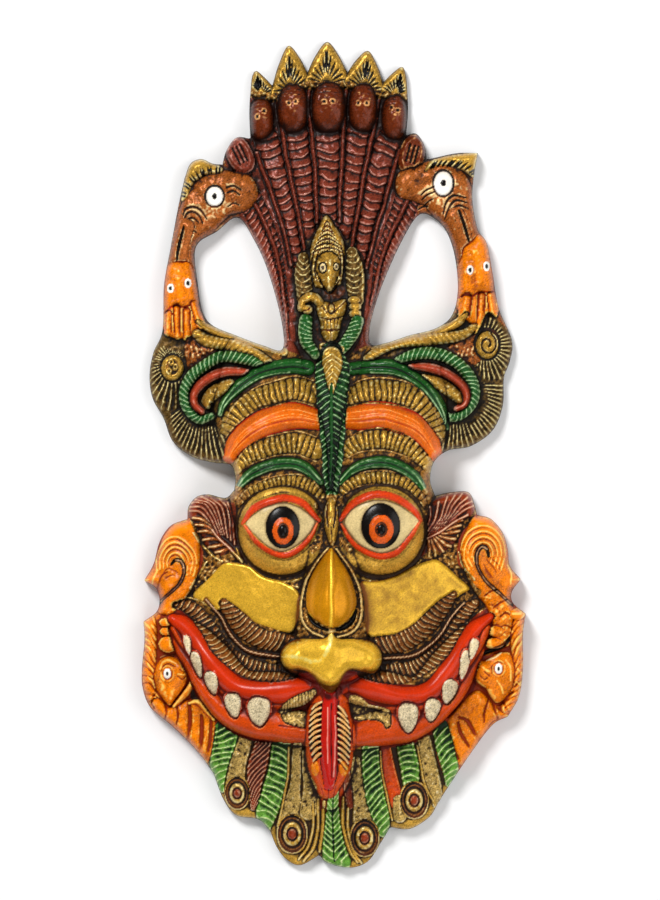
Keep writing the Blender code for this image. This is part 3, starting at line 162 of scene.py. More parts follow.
class Relief:
    """The front over a lattice on the drawing: its height, and the finish of each place."""

    def __init__(self, low, high):
        columns = 2 * math.ceil((high[0] - low[0] + 2 * MARGIN) / (2 * PITCH))
        rows = 2 * math.ceil((high[1] - low[1] + 2 * MARGIN) / (2 * PITCH))
        self.x = low[0] - MARGIN + PITCH * np.arange(columns + 1)
        self.y = low[1] - MARGIN + PITCH * np.arange(rows + 1)
        self.ground = np.zeros((rows + 1, columns + 1))
        self.z = self.ground.copy()
        self.finish = np.zeros(self.z.shape, int)
        chance = np.random.default_rng(11)
        # Light painted into the colour by brush(), shade below 0
        self.tone = self.ground.copy()
        noises = []
        for reach in (0.8, 2.4, 4.8, 8.0, 8.0):
            noise = softened(chance.standard_normal(self.z.shape), reach)
            noises.append(noise / noise.std())
        self.grain, self.dents, self.mottle, *self.sway = noises
        self.fleck = chance.standard_normal(self.z.shape)

    def window(self, points, reach):
        """The part of the lattice that lies within reach of some points, and its x and y."""
        low, high = points[:, :2].min(0) - reach, points[:, :2].max(0) + reach
        left, right = np.searchsorted(self.x, (low[0], high[0]))
        foot, head = np.searchsorted(self.y, (low[1], high[1]))
        return np.s_[foot:head, left:right], *np.meshgrid(self.x[left:right], self.y[foot:head])

    def along(self, rows):
        """The window of a curve of x, y, width and maybe height: along it, across it and its height."""
        line = curve(rows)
        reach = line[:, 2].max() / 2 + 2
        part, x, y = self.window(line, reach)
        x, y = x + SWAY * self.sway[0][part], y + SWAY * self.sway[1][part]
        nearest = np.full(x.shape, FAR)
        place = np.zeros(x.shape)
        corner = part[1].start, part[0].start
        for k, (a, b) in enumerate(zip(line[:-1, :2], line[1:, :2])):
            low, high = np.minimum(a, b) - reach, np.maximum(a, b) + reach
            left, right = np.clip(np.searchsorted(self.x, (low[0], high[0])) - corner[0], 0, None)
            foot, head = np.clip(np.searchsorted(self.y, (low[1], high[1])) - corner[1], 0, None)
            near = np.s_[foot:head, left:right]
            run = b - a
            px, py = x[near] - a[0], y[near] - a[1]
            share = np.clip((px * run[0] + py * run[1]) / (run @ run + TINY), 0, 1)
            away = np.hypot(px - share * run[0], py - share * run[1])
            away *= np.where(run[0] * py < run[1] * px, 1, -1)
            closer = np.abs(away) < np.abs(nearest[near])
            nearest[near] = np.where(closer, away, nearest[near])
            place[near] = np.where(closer, k + share, place[near])
        count = np.arange(len(line))
        lengths = np.r_[0, np.cumsum(np.hypot(*np.diff(line[:, :2], axis=0).T))]
        width = np.interp(place, count, line[:, 2])
        height = np.interp(place, count, line[:, -1])
        return part, np.interp(place, count, lengths), 2 * nearest / np.maximum(width, 0.1), height

    def depth_in(self, points, reach=FAR):
        """The window of a closed run of points, and the depth inside it up to reach, negative outside."""
        loop = np.vstack([points, points[:1]])[:, :2]
        part, x, y = self.window(loop, 2)
        corner = part[1].start, part[0].start
        inside = np.zeros(x.shape, bool)
        nearest = np.full(x.shape, reach)
        for a, b in zip(loop[:-1], loop[1:]):
            run = b - a
            if run[1]:
                level = (y[:, 0] >= min(a[1], b[1])) & (y[:, 0] < max(a[1], b[1]))
                cross = a[0] + (y[level, 0] - a[1]) * run[0] / run[1]
                inside[level] ^= x[level] > cross[:, None]
            low, high = np.minimum(a, b) - reach, np.maximum(a, b) + reach
            left, right = np.clip(np.searchsorted(self.x, (low[0], high[0])) - corner[0], 0, None)
            foot, head = np.clip(np.searchsorted(self.y, (low[1], high[1])) - corner[1], 0, None)
            near = np.s_[foot:head, left:right]
            px, py = x[near] - a[0], y[near] - a[1]
            share = np.clip((px * run[0] + py * run[1]) / (run @ run + TINY), 0, 1)
            away = np.hypot(px - share * run[0], py - share * run[1])
            nearest[near] = np.minimum(nearest[near], away)
        return part, np.where(inside, nearest, -nearest)

    def finished(self, kind):
        """What each place's finish has of one kind: bare brass, roughness or tooth."""
        return np.array([FINISHES[name][kind] for name in NAMES])[self.finish]

    def lay(self, part, on, top, finish):
        """Sets the height over the ground, and the finish, where on."""
        self.z[part] = np.where(on, self.ground[part] + top, self.z[part])
        self.coat(part, on, finish)

    def coat(self, part, on, finish):
        """Sets the finish where on."""
        if finish:
            self.finish[part] = np.where(on, NAMES.index(finish), self.finish[part])

    def swell(self, rows, fullness=0.5):
        """Raises the ground along a curve of x, y, width and height, half round across."""
        part, _, across, height = self.along(rows)
        round_off = np.clip(1 - across**2, 0, 1) ** fullness
        ground = self.ground[part]
        self.ground[part] = np.maximum(ground, ground + (height - ground) * round_off)

    def bulge(self, centre, radii, height):
        """Raises the ground in an oval up to a height at its centre."""
        part, x, y = self.window(np.array([centre]), max(radii) + 2)
        away = ((x - centre[0]) / radii[0]) ** 2 + ((y - centre[1]) / radii[1]) ** 2
        round_off = np.clip(1 - away, 0, 1) ** 0.5
        ground = self.ground[part]
        self.ground[part] = np.maximum(ground, ground + (height - ground) * round_off)

    def band(self, rows, rise, finish=None, sink=0.5, moat=0.0, rib=0.0, pitch=4.4, bow=0.0,
             slant=0.0, vee=0.0, fullness=0.5, plates=False, tighten=0.0, groove=None, edging=0.0,
             grain=0.0):
        """Lays a rounded band over the ground, with a moat dug round it first.

        It may be ribbed across, as a cord or as overlapping plates, and grooved along. A rib below 0
        stands out as a thin line. Edging raises both its edges.
        """
        if moat:
            self.cut([(*row[:2], row[2] + 2 * moat) for row in rows], MOAT)
        part, s, across, _ = self.along(rows)
        on = np.abs(across) < 1
        top = rise * np.clip(1 - across**2, 0, 1) ** fullness - sink
        if edging:
            top += edging * np.exp(-(((np.abs(across) - EDGE_AT) / EDGE_BROAD) ** 2))
        if rib:
            s = s * (1 + tighten * s / max(s.max(), 1))
            lean = bow * (across**2 - 1) + vee * (np.abs(across) - 1) + slant * across
            phase = (s + lean) / pitch + WAVER * self.mottle[part]
            ridge = (1 - np.abs(np.sin(np.pi * phase))) ** 1.5
            if plates:
                step = phase % 1
                top -= rib * (1 - np.minimum(step, 5 * (1 - step)))
            else:
                top -= rib * ridge
        if groove:
            top -= groove[1] * np.exp(-(((across - groove[0]) / GROOVE_BROAD) ** 2))
        self.lay(part, on, top + grain * self.grain[part], finish)

    def turned(self, centre, reach, turn):
        """The window round a centre, and its x and y from there, turned by some degrees."""
        part, x, y = self.window(np.array([centre]), reach)
        c, s = math.cos(math.radians(turn)), math.sin(math.radians(turn))
        u, v = x - centre[0], y - centre[1]
        return part, c * u + s * v, c * v - s * u

    def oval(self, centre, radii, rise, finish=None, turn=0.0, lift=None, fullness=0.5, power=2.0):
        """Lays an oval dome, squarer the higher its power, over the ground or on what is there."""
        part, u, v = self.turned(centre, max(radii) + 2, turn)
        away = np.abs(u / radii[0]) ** power + np.abs(v / radii[1]) ** power
        dome = rise * np.clip(1 - away, 0, 1) ** fullness
        top = dome + self.z[part] - self.ground[part] if lift is None else dome + lift
        self.lay(part, away < 1, top, finish)

    def ring(self, centre, radii, width, rise, finish=None, turn=0.0):
        """Lays a round-backed ring on what is there, its middle line an oval; a groove below 0."""
        part, u, v = self.turned(centre, max(radii) + width, turn)
        across = (np.hypot(u / radii[0], v / radii[1]) - 1) * min(radii) * 2 / width
        self.z[part] += rise * np.sqrt(np.clip(1 - across**2, 0, 1))
        self.coat(part, np.abs(across) < 1, finish)

    def patch(self, rows, rise, finish=None, edge=5.0, sink=0.4, level=0.0, grain=0.0):
        """Lays a smooth raised area inside a closed curve, rounded over at its edge.

        The ground under it may be levelled, by a share, to the plane that fits it best.
        """
        part, depth = self.depth_in(curve(rows, closed=True))
        top = rise * np.sqrt(1 - (1 - np.clip(depth / edge, 0, 1)) ** 2) - sink
        if level:
            inside = depth > 0
            x, y = np.meshgrid(self.x[part[1]], self.y[part[0]])
            terms = np.stack([np.ones(x.shape), x, y], -1)
            fit = np.linalg.lstsq(terms[inside], self.ground[part][inside], rcond=None)[0]
            top += level * (terms @ fit - self.ground[part])
        self.lay(part, depth > 0, top + grain * self.grain[part], finish)

    def wash(self, rows, finish, grain=0.0):
        """Coats the area inside a closed curve, and roughens it, leaving its height as it is."""
        part, depth = self.depth_in(curve(rows, closed=True), 4.0)
        self.coat(part, depth > 0, finish)
        self.z[part] += grain * self.grain[part] * (depth > 0)

    def cut(self, rows, depth, finish=None):
        """Cuts a round-bottomed groove along a curve of x, y and width."""
        part, _, across, _ = self.along(rows)
        self.z[part] -= depth * np.clip(1 - across**2, 0, 1)
        self.coat(part, np.abs(across) < 0.8, finish)

    def brush(self, rows, light, rise=0.0):
        """Paints light into the colour, or shade below 0, along a curve of x, y and width, and may raise
        it.
        """
        part, _, across, _ = self.along(rows)
        stroke = np.clip(1 - across**2, 0, 1)
        self.tone[part] += light * stroke
        self.z[part] += rise * stroke


# The silhouette, clockwise from the first crown: stretches that meet at corners
CROWNS = [
    leaf((-83, 375), (-78, 385), (-62, 370)),
    leaf((-62, 370), (-46, 410), (-27, 383)),
    leaf((-27, 383), (-7, 414), (13, 383)),
    leaf((13, 383), (34, 405), (49, 373)),
    leaf((49, 373), (68, 389), (73, 370)),
]
RIGHT_SIDE = [
    [(73, 370), (74, 345), (72, 320)],
    [(72, 320), (82, 322), (90, 311), (93, 296)],
    [(93, 296), (106, 299), (124, 302.5), (144, 302.5)],
    [(144, 302.5), (140, 280), (138.5, 255), (144, 226), (153, 212), (159, 180), (165, 147), (178, 115),
     (176, 94), (170, 77), (169, 50), (159, 25), (137, 9), (114, 4.5), (100, -7), (96, -25), (101, -41)],
    [(101, -41), (116, -37.5), (134, -37), (140, -48), (143, -60)],
    [(143, -60), (157, -64), (169, -78), (174, -95), (176, -111), (187, -124.5)],
    [(187, -124.5), (178, -137), (179, -148), (192, -159)],
    [(192, -159), (189, -180), (189, -215), (185, -242), (174, -262)],
    [(174, -262), (158, -271), (136, -300), (114, -333), (104, -349)],
    [(104, -349), (95, -363), (76, -374.5), (56, -373)],
    [(56, -373), (47, -388), (34, -407), (16, -413.5), (-6, -409), (-15, -401)],
    [(-15, -401), (-34, -411), (-48, -405), (-58, -392), (-64, -377)],
    [(-64, -377), (-76, -365), (-98, -361), (-111, -345), (-121, -319)],
]
LEFT_SIDE = [
    [(-121, -319), (-136, -298), (-162, -272), (-184, -253), (-192, -233), (-192.5, -213), (-190, -185),
     (-191, -167)],
    [(-191, -167), (-178, -157), (-175, -145), (-179, -133), (-190.5, -126)],
    [(-190.5, -126), (-181, -109), (-175, -87), (-164, -71), (-147, -64)],
    [(-147, -64), (-146, -52), (-138, -42), (-126, -39.5), (-109, -43), (-100, -35)],
    [(-100, -35), (-99, -23), (-104, -10), (-122, -7.5), (-144, -1), (-162, 14), (-171, 37), (-182, 57),
     (-185, 80), (-181, 103), (-172, 125), (-170.5, 170), (-164, 207), (-156, 250), (-150, 277)],
    [(-150, 277), (-144, 292), (-133, 296.5), (-122, 292), (-112, 291)],
    [(-112, 291), (-108, 305), (-98, 318), (-84, 317)],
    [(-84, 317), (-85, 345), (-83, 375)],
]
LEFT_GAP = [
    (-97, 238), (-118, 224), (-135, 214), (-140, 201), (-137, 173), (-132, 144), (-122, 130), (-99, 120),
    (-72, 110), (-52, 106), (-53, 135), (-66, 183), (-80, 215),
]
RIGHT_GAP = [
    (84, 240), (97, 239.5), (112, 225), (121, 199), (124, 165), (118, 140), (102, 127), (76, 120),
    (51, 112), (37, 111), (36, 130), (48, 170), (68, 215),
]

# How high the ground stands at places on the drawing: x, y and height, before anything is laid on it
LAND = [
    (-7, 395, 5), (-76, 365, 5), (66, 365, 5), (-64, 305, 8), (-6, 315, 9), (54, 305, 8), (-6, 255, 12),
    (-98, 285, 7), (84, 287, 7), (-42, 200, 13), (28, 200, 13), (-4, 125, 18), (-129, 265, 9),
    (-162, 175, 9), (121, 270, 9), (146, 185, 9), (-166, 85, 8), (156, 85, 8), (-119, 105, 13),
    (111, 105, 13), (-144, 15, 8), (131, 15, 8), (-84, 75, 19), (81, 75, 19), (-4, 55, 21), (-4, 15, 24),
    (-4, -15, 27), (-98, -25, 22), (94, -25, 22), (-94, 25, 20), (96, 25, 20), (-52, -75, 31),
    (46, -75, 31), (-3, -105, 36), (-94, -90, 22), (94, -90, 22), (-122, -65, 13), (118, -65, 13),
    (-134, -135, 16), (134, -135, 16), (-94, -130, 25), (91, -130, 25), (-3, -165, 38), (-54, -155, 33),
    (51, -155, 33), (-169, -115, 8), (166, -115, 8), (-174, -225, 9), (174, -225, 9), (-3, -235, 36),
    (-72, -235, 30), (68, -235, 30), (-124, -210, 22), (118, -210, 22), (-146, -170, 15), (144, -170, 15),
    (-3, -290, 28), (-84, -290, 20), (78, -290, 20), (-139, -265, 10), (134, -265, 10), (-3, -345, 17),
    (-72, -335, 12), (66, -335, 12), (-3, -407, 7), (-109, -340, 7), (102, -340, 7), (-43, -395, 6),
    (31, -395, 6),
]
LAND_BLEND = 24.0

# The pieces that show, each with the ground's own finish there; where two meet, the later one has it
PIECES = {
    "cheeks_and_eyes": ("dark_brass", [(-214, 435), (206, 435), (206, -445), (-214, -445)]),
    "serpent_hood": ("maroon",
                     [(-110, 305), (-98, 439), (94, 439), (95, 297), (84, 239), (38, 109), (-4, 103),
                      (-51, 103), (-97, 238), (-110, 289)]),
    "winged_figure": ("olive",
                      [(-7, 245), (8, 225), (30, 203), (31, 155), (24, 130), (17, 99), (-3, 83),
                       (-28, 94), (-36, 130), (-40, 155), (-38, 199), (-21, 225)]),
    "left_handle": ("copper",
                    [(-194, 123), (-184, 305), (-134, 315), (-111, 297), (-96, 238), (-118, 215),
                     (-130, 193), (-120, 155), (-116, 133), (-134, 117)]),
    "right_handle": ("copper",
                     [(94, 297), (116, 315), (166, 315), (186, 155), (182, 117), (124, 125), (114, 155),
                      (114, 215), (84, 239)]),
    "left_wing": ("olive",
                  [(-204, 123), (-136, 121), (-122, 132), (-51, 104), (-72, 87), (-98, 59), (-108, 25),
                   (-96, -13), (-118, -25), (-214, -15)]),
    "right_wing": ("olive",
                   [(37, 110), (76, 122), (118, 142), (166, 125), (206, 115), (196, -15), (102, -17),
                    (112, 25), (102, 59), (64, 91)]),
    "ringed_brow": ("dark_brass",
                    [(-72, 87), (-51, 104), (-4, 91), (37, 110), (64, 91), (102, 59), (112, 25),
                     (102, -19), (102, -41), (82, -45), (46, -29), (12, -43), (-3, -41), (-18, -49),
                     (-51, -31), (-84, -49), (-108, -41), (-108, -13), (-118, 25), (-108, 59)]),
    "left_scrolls": ("orange",
                     [(-234, -25), (-108, -35), (-88, -45), (-85, -107), (-120, -119), (-142, -145),
                      (-162, -157), (-154, -195), (-138, -235), (-112, -271), (-122, -325),
                      (-244, -345)]),
    "right_scrolls": ("orange",
                      [(100, -35), (226, -15), (226, -345), (106, -345), (96, -289), (114, -245),
                       (136, -195), (152, -161), (144, -139), (118, -117), (86, -105), (92, -45)]),
    "beard": ("old_gold",
              [(-112, -259), (-72, -273), (-29, -277), (-4, -277), (20, -281), (66, -279), (106, -261),
               (102, -297), (116, -365), (46, -435), (-84, -425), (-138, -335)]),
    "wide_mouth": ("lip_orange",
                   [(-166, -157), (-150, -154), (-124, -177), (-90, -221), (-34, -217), (-3, -231),
                    (26, -219), (66, -227), (100, -221), (136, -165), (160, -154), (156, -185),
                    (132, -249), (94, -281), (62, -291), (21, -293), (12, -345), (-4, -357), (-22, -345),
                    (-30, -289), (-72, -286), (-112, -271), (-144, -227)]),
}


def silhouette():
    """The outer edge as one closed run of points, and the two gaps under the birds' necks."""
    outer = []
    for stretch in CROWNS + RIGHT_SIDE + LEFT_SIDE:
        outer.append(curve(stretch)[:-1])
    return np.vstack(outer), curve(LEFT_GAP, closed=True), curve(RIGHT_GAP, closed=True)


def lay_ground(relief):
    """The land between the chosen heights, then the big rounded forms that stand on it."""
    x, y = np.meshgrid(relief.x, relief.y)
    total = np.zeros(x.shape)
    weight = np.full(x.shape, TINY)
    for at_x, at_y, height in LAND:
        near = np.exp(-((x - at_x) ** 2 + (y - at_y) ** 2) / (2 * LAND_BLEND**2))
        total += near * height
        weight += near
    relief.ground = total / weight
    # Brow: two half-round columns that lean back towards the crest
    relief.swell([(-72, 87, 80, 24), (-70, 55, 100, 31), (-62, 15, 106, 36), (-53, -45, 100, 39)], 0.65)
    relief.swell([(66, 85, 80, 24), (64, 55, 98, 31), (57, 15, 104, 36), (47, -45, 98, 39)], 0.65)
    # Eyeballs, bridge of the nose and its bulb
    relief.bulge((-52, -75), (44, 44), 43)
    relief.bulge((46, -75), (44, 44), 43)
    relief.swell([(-3, -50, 30, 38), (-3, -95, 44, 42), (-2, -145, 66, 48), (-2, -195, 72, 50)], 0.7)
    relief.swell([(-35, -201, 34, 45), (-3, -203, 52, 51), (30, -201, 34, 45)])
    # Lips and tongue
    for lip in (
        [(-159, -163, 20, 17), (-128, -195, 36, 29), (-94, -230, 38, 35), (-54, -234, 38, 39),
         (-14, -234, 20, 40)],
        [(155, -160, 20, 17), (121, -200, 36, 29), (86, -238, 38, 35), (41, -233, 38, 39),
         (6, -234, 20, 40)],
        [(-161, -179, 11, 14), (-143, -209, 15, 20), (-120, -243, 22, 26), (-94, -261, 32, 30),
         (-59, -267, 37, 34), (-29, -273, 34, 36)],
        [(152, -173, 11, 14), (132, -221, 16, 20), (108, -251, 22, 26), (81, -267, 32, 30),
         (51, -271, 37, 34), (21, -277, 34, 36)],
        [(-5, -235, 38, 42), (-4, -275, 50, 41), (-4, -315, 44, 33), (-4, -345, 18, 23)],
    ):
        relief.swell(lip)
    relief.z = relief.ground.copy()
    for finish, rows in PIECES.values():
        relief.wash(rows, finish)


def serpent_crown(relief, crown):
    """The gold leaf that a serpent wears, its dark cuts spread like a palm from the foot."""
    left, tip, right = crown[0], crown[2], crown[-1]
    foot = 0.5 * (left + right) - (0, 12)
    area = [left - (0, 14), left, crown[1], tip, crown[3], right, right - (0, 14)]
    relief.patch(area, 2.4, "pale_gold", edge=2.4, sink=-0.4)
    for corner in (left, right):
        for share in (-0.1, 0.1, 0.3, 0.52, 0.76, 0.95):
            spoke = corner - (0, 2) + share * (tip - corner) - foot
            relief.cut([(*(foot + at * spoke), w) for at, w in ((0.34, 1.2), (0.62, 2.8), (0.84, 1))],
                       1.6, "black")
    relief.wash([left - (0, 9), left - (0, 17), right - (0, 17), right - (0, 9), foot + (0, 3)],
                "dark_brass", 0.5)


def serpent_head(relief, centre, radii, eyes):
    """A domed head with two small eyes set close together, darkened with painted shade at its sides and
    foot.
    """
    relief.oval(centre, (1.14 * radii[0], 1.04 * radii[1]), 6.5, "serpent_brown", lift=0.6, power=2.4)
    relief.oval((centre[0], centre[1] + 0.2 * radii[1]),
                (0.66 * radii[0], 0.5 * radii[1]), 1.2, fullness=1)
    # Painted shade round the head's sides and at its foot
    edge = []
    for turn in np.linspace(0, 2 * math.pi, 17):
        edge.append((centre[0] + 1.08 * radii[0] * math.cos(turn), centre[1] + radii[1] * math.sin(turn),
                     0.7 * radii[0]))
    relief.brush(edge, -1.5)
    relief.brush([(centre[0] + v * radii[0], centre[1] - 0.85 * radii[1], 0.9 * radii[1])
                  for v in (-0.6, 0.6)], -1.2)
    brow = [(centre[0] + u * radii[0], centre[1] + v * radii[1])
            for u, v in ((-0.8, 0.1), (-0.7, 0.9), (0.7, 0.9), (0.8, 0.1))]
    relief.wash(brow, None, 0.12)
    for row in (0.35, 0.6, 0.8):
        wave = [(centre[0] + u * radii[0], centre[1] + (row - 0.16 * u * u) * radii[1], 1.6)
                for u in (-0.6, -0.2, 0.2, 0.6)]
        relief.cut(wave, 0.5)
    # A painted highlight on the brow
    relief.brush([(centre[0] + v * radii[0], centre[1] + 0.1 * radii[1], 0.8 * radii[1])
                  for v in (-0.1, 0.1)], 0.7)
    for eye in eyes:
        relief.ring(eye, (2.4, 2.4), 2.0, 0.4)
        relief.oval(eye, (1.5, 1.7), -0.8, "black")
        # Painted highlights below each eye
        relief.brush([(eye[0] - 2, eye[1] - 2.4, 1.4), (eye[0] + 2, eye[1] - 2.4, 1.4)], 0.9)


def hood(relief):
    """Five serpents side by side, the lobed strips that edge them, and the cords between."""
    plate = dict(finish="maroon", plates=True, fullness=0.7, rib=2.0, tighten=0.15)
    for strip in (
        [(-93, 295, 18), (-91, 277, 20), (-82, 255, 22), (-68, 225, 20), (-57, 192, 15), (-49, 145, 9)],
        [(78, 295, 18), (77, 277, 18), (70, 255, 19), (59, 225, 17), (48, 195, 14), (40, 155, 8)],
    ):
        relief.band(strip, 3.0, pitch=8.6, bow=4, **plate)
    for edge, slant in (
        ([(-98, 275, 12), (-86, 249, 15), (-72, 215, 14), (-62, 183, 13), (-54, 147, 11), (-50, 111, 9)],
         -5),
        ([(88, 275, 12), (77, 249, 14), (64, 217, 13), (53, 187, 12), (44, 155, 10), (38, 113, 8)], 5),
    ):
        relief.band(edge, 2.4, pitch=7.4, bow=2, slant=slant, **plate)
    for body in (
        [(-73, 329, 24), (-68, 315, 26), (-62, 297, 27), (-52, 265, 22), (-44, 230, 17), (-36, 187, 12)],
        [(-42, 339, 26), (-39, 320, 28), (-34, 290, 26), (-29, 260, 22), (-26, 223, 18)],
        [(-6, 347, 30), (-6, 320, 34), (-6, 290, 31), (-6, 260, 26), (-5, 230, 22)],
        [(29, 343, 26), (25, 320, 28), (21, 290, 24), (16, 260, 20), (12, 223, 17)],
        [(62, 331, 24), (57, 317, 28), (49, 295, 30), (40, 263, 24), (32, 230, 18), (24, 191, 14)],
    ):
        relief.band(body, 3.4, pitch=10.5, bow=5, **plate)
    for cord in (
        [(-24, 371, 3.4), (-25, 350, 3.6), (-22, 315, 3.6), (-19, 275, 3.6), (-17, 233, 3)],
        [(-57, 359, 3.4), (-55, 340, 3.6), (-48, 300, 3.6), (-41, 265, 3.6), (-35, 235, 3),
         (-29, 199, 3)],
        [(-77, 303, 3.4), (-71, 285, 3.6), (-62, 260, 3.6), (-52, 230, 3), (-43, 190, 3)],
        [(-98, 283, 3.4), (-82, 255, 3.6), (-66, 223, 3.6), (-54, 187, 3), (-46, 115, 3)],
        [(12, 371, 3.4), (11, 350, 3.6), (9, 315, 3.6), (7, 275, 3.6), (5, 233, 3)],
        [(45, 359, 3.4), (41, 335, 3.6), (34, 300, 3.6), (27, 260, 3.6), (16, 203, 3)],
        [(66, 305, 3.4), (58, 280, 3.6), (50, 250, 3), (41, 220, 3), (32, 187, 3)],
        [(87, 283, 3.4), (74, 255, 3.6), (58, 223, 3.6), (46, 189, 3), (37, 150, 3)],
    ):
        # Painted shade on either side of each cord
        relief.brush([(x, y, 12) for x, y, _ in cord], -0.6)
        relief.band(cord, 1.9, "maroon", sink=-0.4, moat=2.6)
    for centre, finish, turn in (((-95, 301), "maroon", 28), ((78, 301), "serpent_brown", -16)):
        relief.oval(centre, (12.5, 20), 2.6, finish, turn=turn, lift=2.2, power=2.4)
        relief.ring(centre, (9, 16), 2.2, 0.9, turn=turn)
        c, s = math.cos(math.radians(turn)), math.sin(math.radians(turn))
        for side in (-4, 0.5, 4.6):
            slot = [(centre[0] + c * side - s * v, centre[1] + s * side + c * v, 2.6) for v in (-9, 0, 9)]
            relief.cut(slot, 1.9, "black")
    for crown in CROWNS:
        serpent_crown(relief, crown)
    for head in (
        ((-73, 336), (10.5, 20), ((-77, 338), (-70, 344))),
        ((-41.5, 347), (13.5, 24), ((-45.5, 352), (-38.5, 353))),
        ((-5.5, 348), (15, 25), ((-10, 353), (-1.5, 353.5))),
        ((29, 347.5), (12.5, 24), ((24, 351.5), (32.5, 351.5))),
        ((60.5, 338), (11, 22), ((57, 347.5), (63.5, 344.5))),
    ):
        serpent_head(relief, *head)


def little_figure(relief):
    """The winged figure with a beak and bent arms that sits at the foot of the hood."""
    relief.patch([(-7, 241), (12, 210), (30, 197), (29, 155), (20, 110), (-1, 93), (-26, 110), (-37, 155),
                  (-37, 197), (-23, 210)], 3, "umber", edge=10, grain=0.1)
    # Wings on the shoulders, their feathers curled
    relief.band([(-31, 197, 10), (-31, 183, 16), (-30, 169, 16), (-31, 155, 12)], 3.0, "olive", sink=-2.4,
                rib=-1.3, pitch=6, bow=5, grain=0.15)
    relief.band([(17, 203, 10), (20, 187, 17), (21, 171, 18), (22, 155, 14)], 3.0, "olive", sink=-2.4,
                rib=-1.3, pitch=6, bow=5, grain=0.15)
    relief.cut([(27, 193, 2), (29, 175, 2.4), (28, 157, 2)], -1.0, "pale_gold")
    # Crest that runs down both sides of the face, its curls in rows
    relief.patch([(-8, 239), (1, 228), (8, 216), (11, 201), (10, 185), (6, 170), (-18, 167), (-23, 181),
                  (-24, 201), (-21, 215), (-15, 228)], 6, "pale_gold", edge=8, sink=-1.5, grain=0.3)
    for row in range(7):
        high, half = 233 - 4.4 * row, 3.4 + 2.2 * row
        relief.cut([(-7 - half, high - 6, 1),
                    (-7 - 0.5 * half, high - 1.6, 2.2), (-7, high, 2.2),
                    (-7 + 0.5 * half, high - 1.6, 2.2), (-7 + half, high - 6, 1)], 1.6, "umber")
        for k in range(-row, row + 1, 2):
            relief.ring((-7 + 2.3 * k, high - 3 - 0.3 * abs(k)), (1.4, 1.7), 1.4, 1.4)
    for strand in (
        [(-18, 209, 1.6), (-22, 197, 2.4), (-23, 183, 2.4), (-20, 169, 1.6)],
        [(-15, 205, 1.6), (-18.5, 195, 2), (-19.5, 183, 2), (-17, 173, 1.4)],
        [(6, 209, 1.6), (9, 197, 2.4), (9.5, 185, 2.4), (7, 171, 1.6)],
        [(3, 206, 1.4), (6, 197, 2), (7, 187, 2), (5.5, 177, 1.4)],
    ):
        relief.cut(strand, 1.4, "umber")
    # Head, eyes and beak
    relief.patch([(-4, 204), (3, 200), (7, 192), (6, 182), (3, 174), (-3, 164), (-6, 163), (-10, 168),
                  (-15, 175), (-19, 185), (-18, 195), (-13, 202)], 8, "pale_gold", edge=16, sink=-3.5,
                 grain=0.22)
    for centre, size in (((-11.5, 186.5), 1.0), ((2, 187.5), 0.76)):
        relief.oval(centre, (4.8 * size, 6.2 * size), 0.4, "black")
        relief.oval(centre, (2.9 * size, 4.2 * size), 0.6, "eye_white")
        relief.oval(centre, (1.5 * size, 2.3 * size), 0.3, "black")
    # The beak's ridge raised and given a painted highlight; painted shade down the face's sides
    relief.brush([(-4, 193, 5), (-3, 181, 9), (-5, 167, 5)], 0.25, 1.6)
    relief.cut([(-14, 173, 2), (-9, 165, 2.8), (-5, 161, 3), (0, 166, 2.6), (5, 174, 1.8)], 1.4, "umber")
    relief.brush([(-18, 197, 5), (-19, 185, 6), (-14, 171, 6)], -0.5)
    relief.brush([(7, 193, 4), (6, 181, 5), (1, 169, 5)], -0.5)
    # Chest, collar, pendant and belly
    relief.patch([(-17, 154), (-3, 152), (11, 155), (11, 143), (7, 133), (5, 123), (1, 115), (-4, 113),
                  (-9, 115), (-13, 122), (-14, 133), (-17, 143)], 6, "pale_gold", edge=10, sink=-3,
                 grain=0.25)
    relief.ring((-3, 146), (3.4, 5.2), 1.6, -1.0, "umber")
    relief.oval((-3, 146), (2.4, 4.2), 1.2)
    for line in (
        [(-17, 152, 1.6), (-11, 147, 2), (-7, 142, 1.6)],
        [(11, 153, 1.6), (5, 147, 2), (1, 142, 1.6)],
        [(-14, 137, 1.6), (-3, 135, 2), (9, 138, 1.6)],
        [(-13, 125, 2), (-4, 124, 2.4), (6, 125, 2)],
        [(-7, 135, 1.4), (-7, 126, 1.4)],
        [(-3, 135, 1.4), (-3, 115, 1.4)],
        [(1, 135, 1.4), (1, 126, 1.4)],
        [(5, 136, 1.2), (3, 127, 1.2)],
        [(-11, 135, 1.2), (-10, 127, 1.2)],
    ):
        relief.cut(line, 1.1, "umber")
    # Arms bent back from the shoulders, with fists
    relief.band([(-14, 151, 8), (-19, 156, 9), (-26, 157.5, 9), (-31.5, 153, 8), (-33, 146, 7)], 3.8,
                "pale_gold", sink=-4.6, moat=1.5, grain=0.3)
    relief.oval((-27, 145), (5, 4.4), 2.4, "pale_gold", lift=6)
    relief.cut([(-31, 143, 1.4), (-26, 144, 1.8), (-23, 148, 1.4)], 1.2, "umber")
    for centre in ((20, 154.5), (21, 148), (21, 141)):
        relief.oval(centre, (6, 3.7), 2.4, "pale_gold", lift=6)
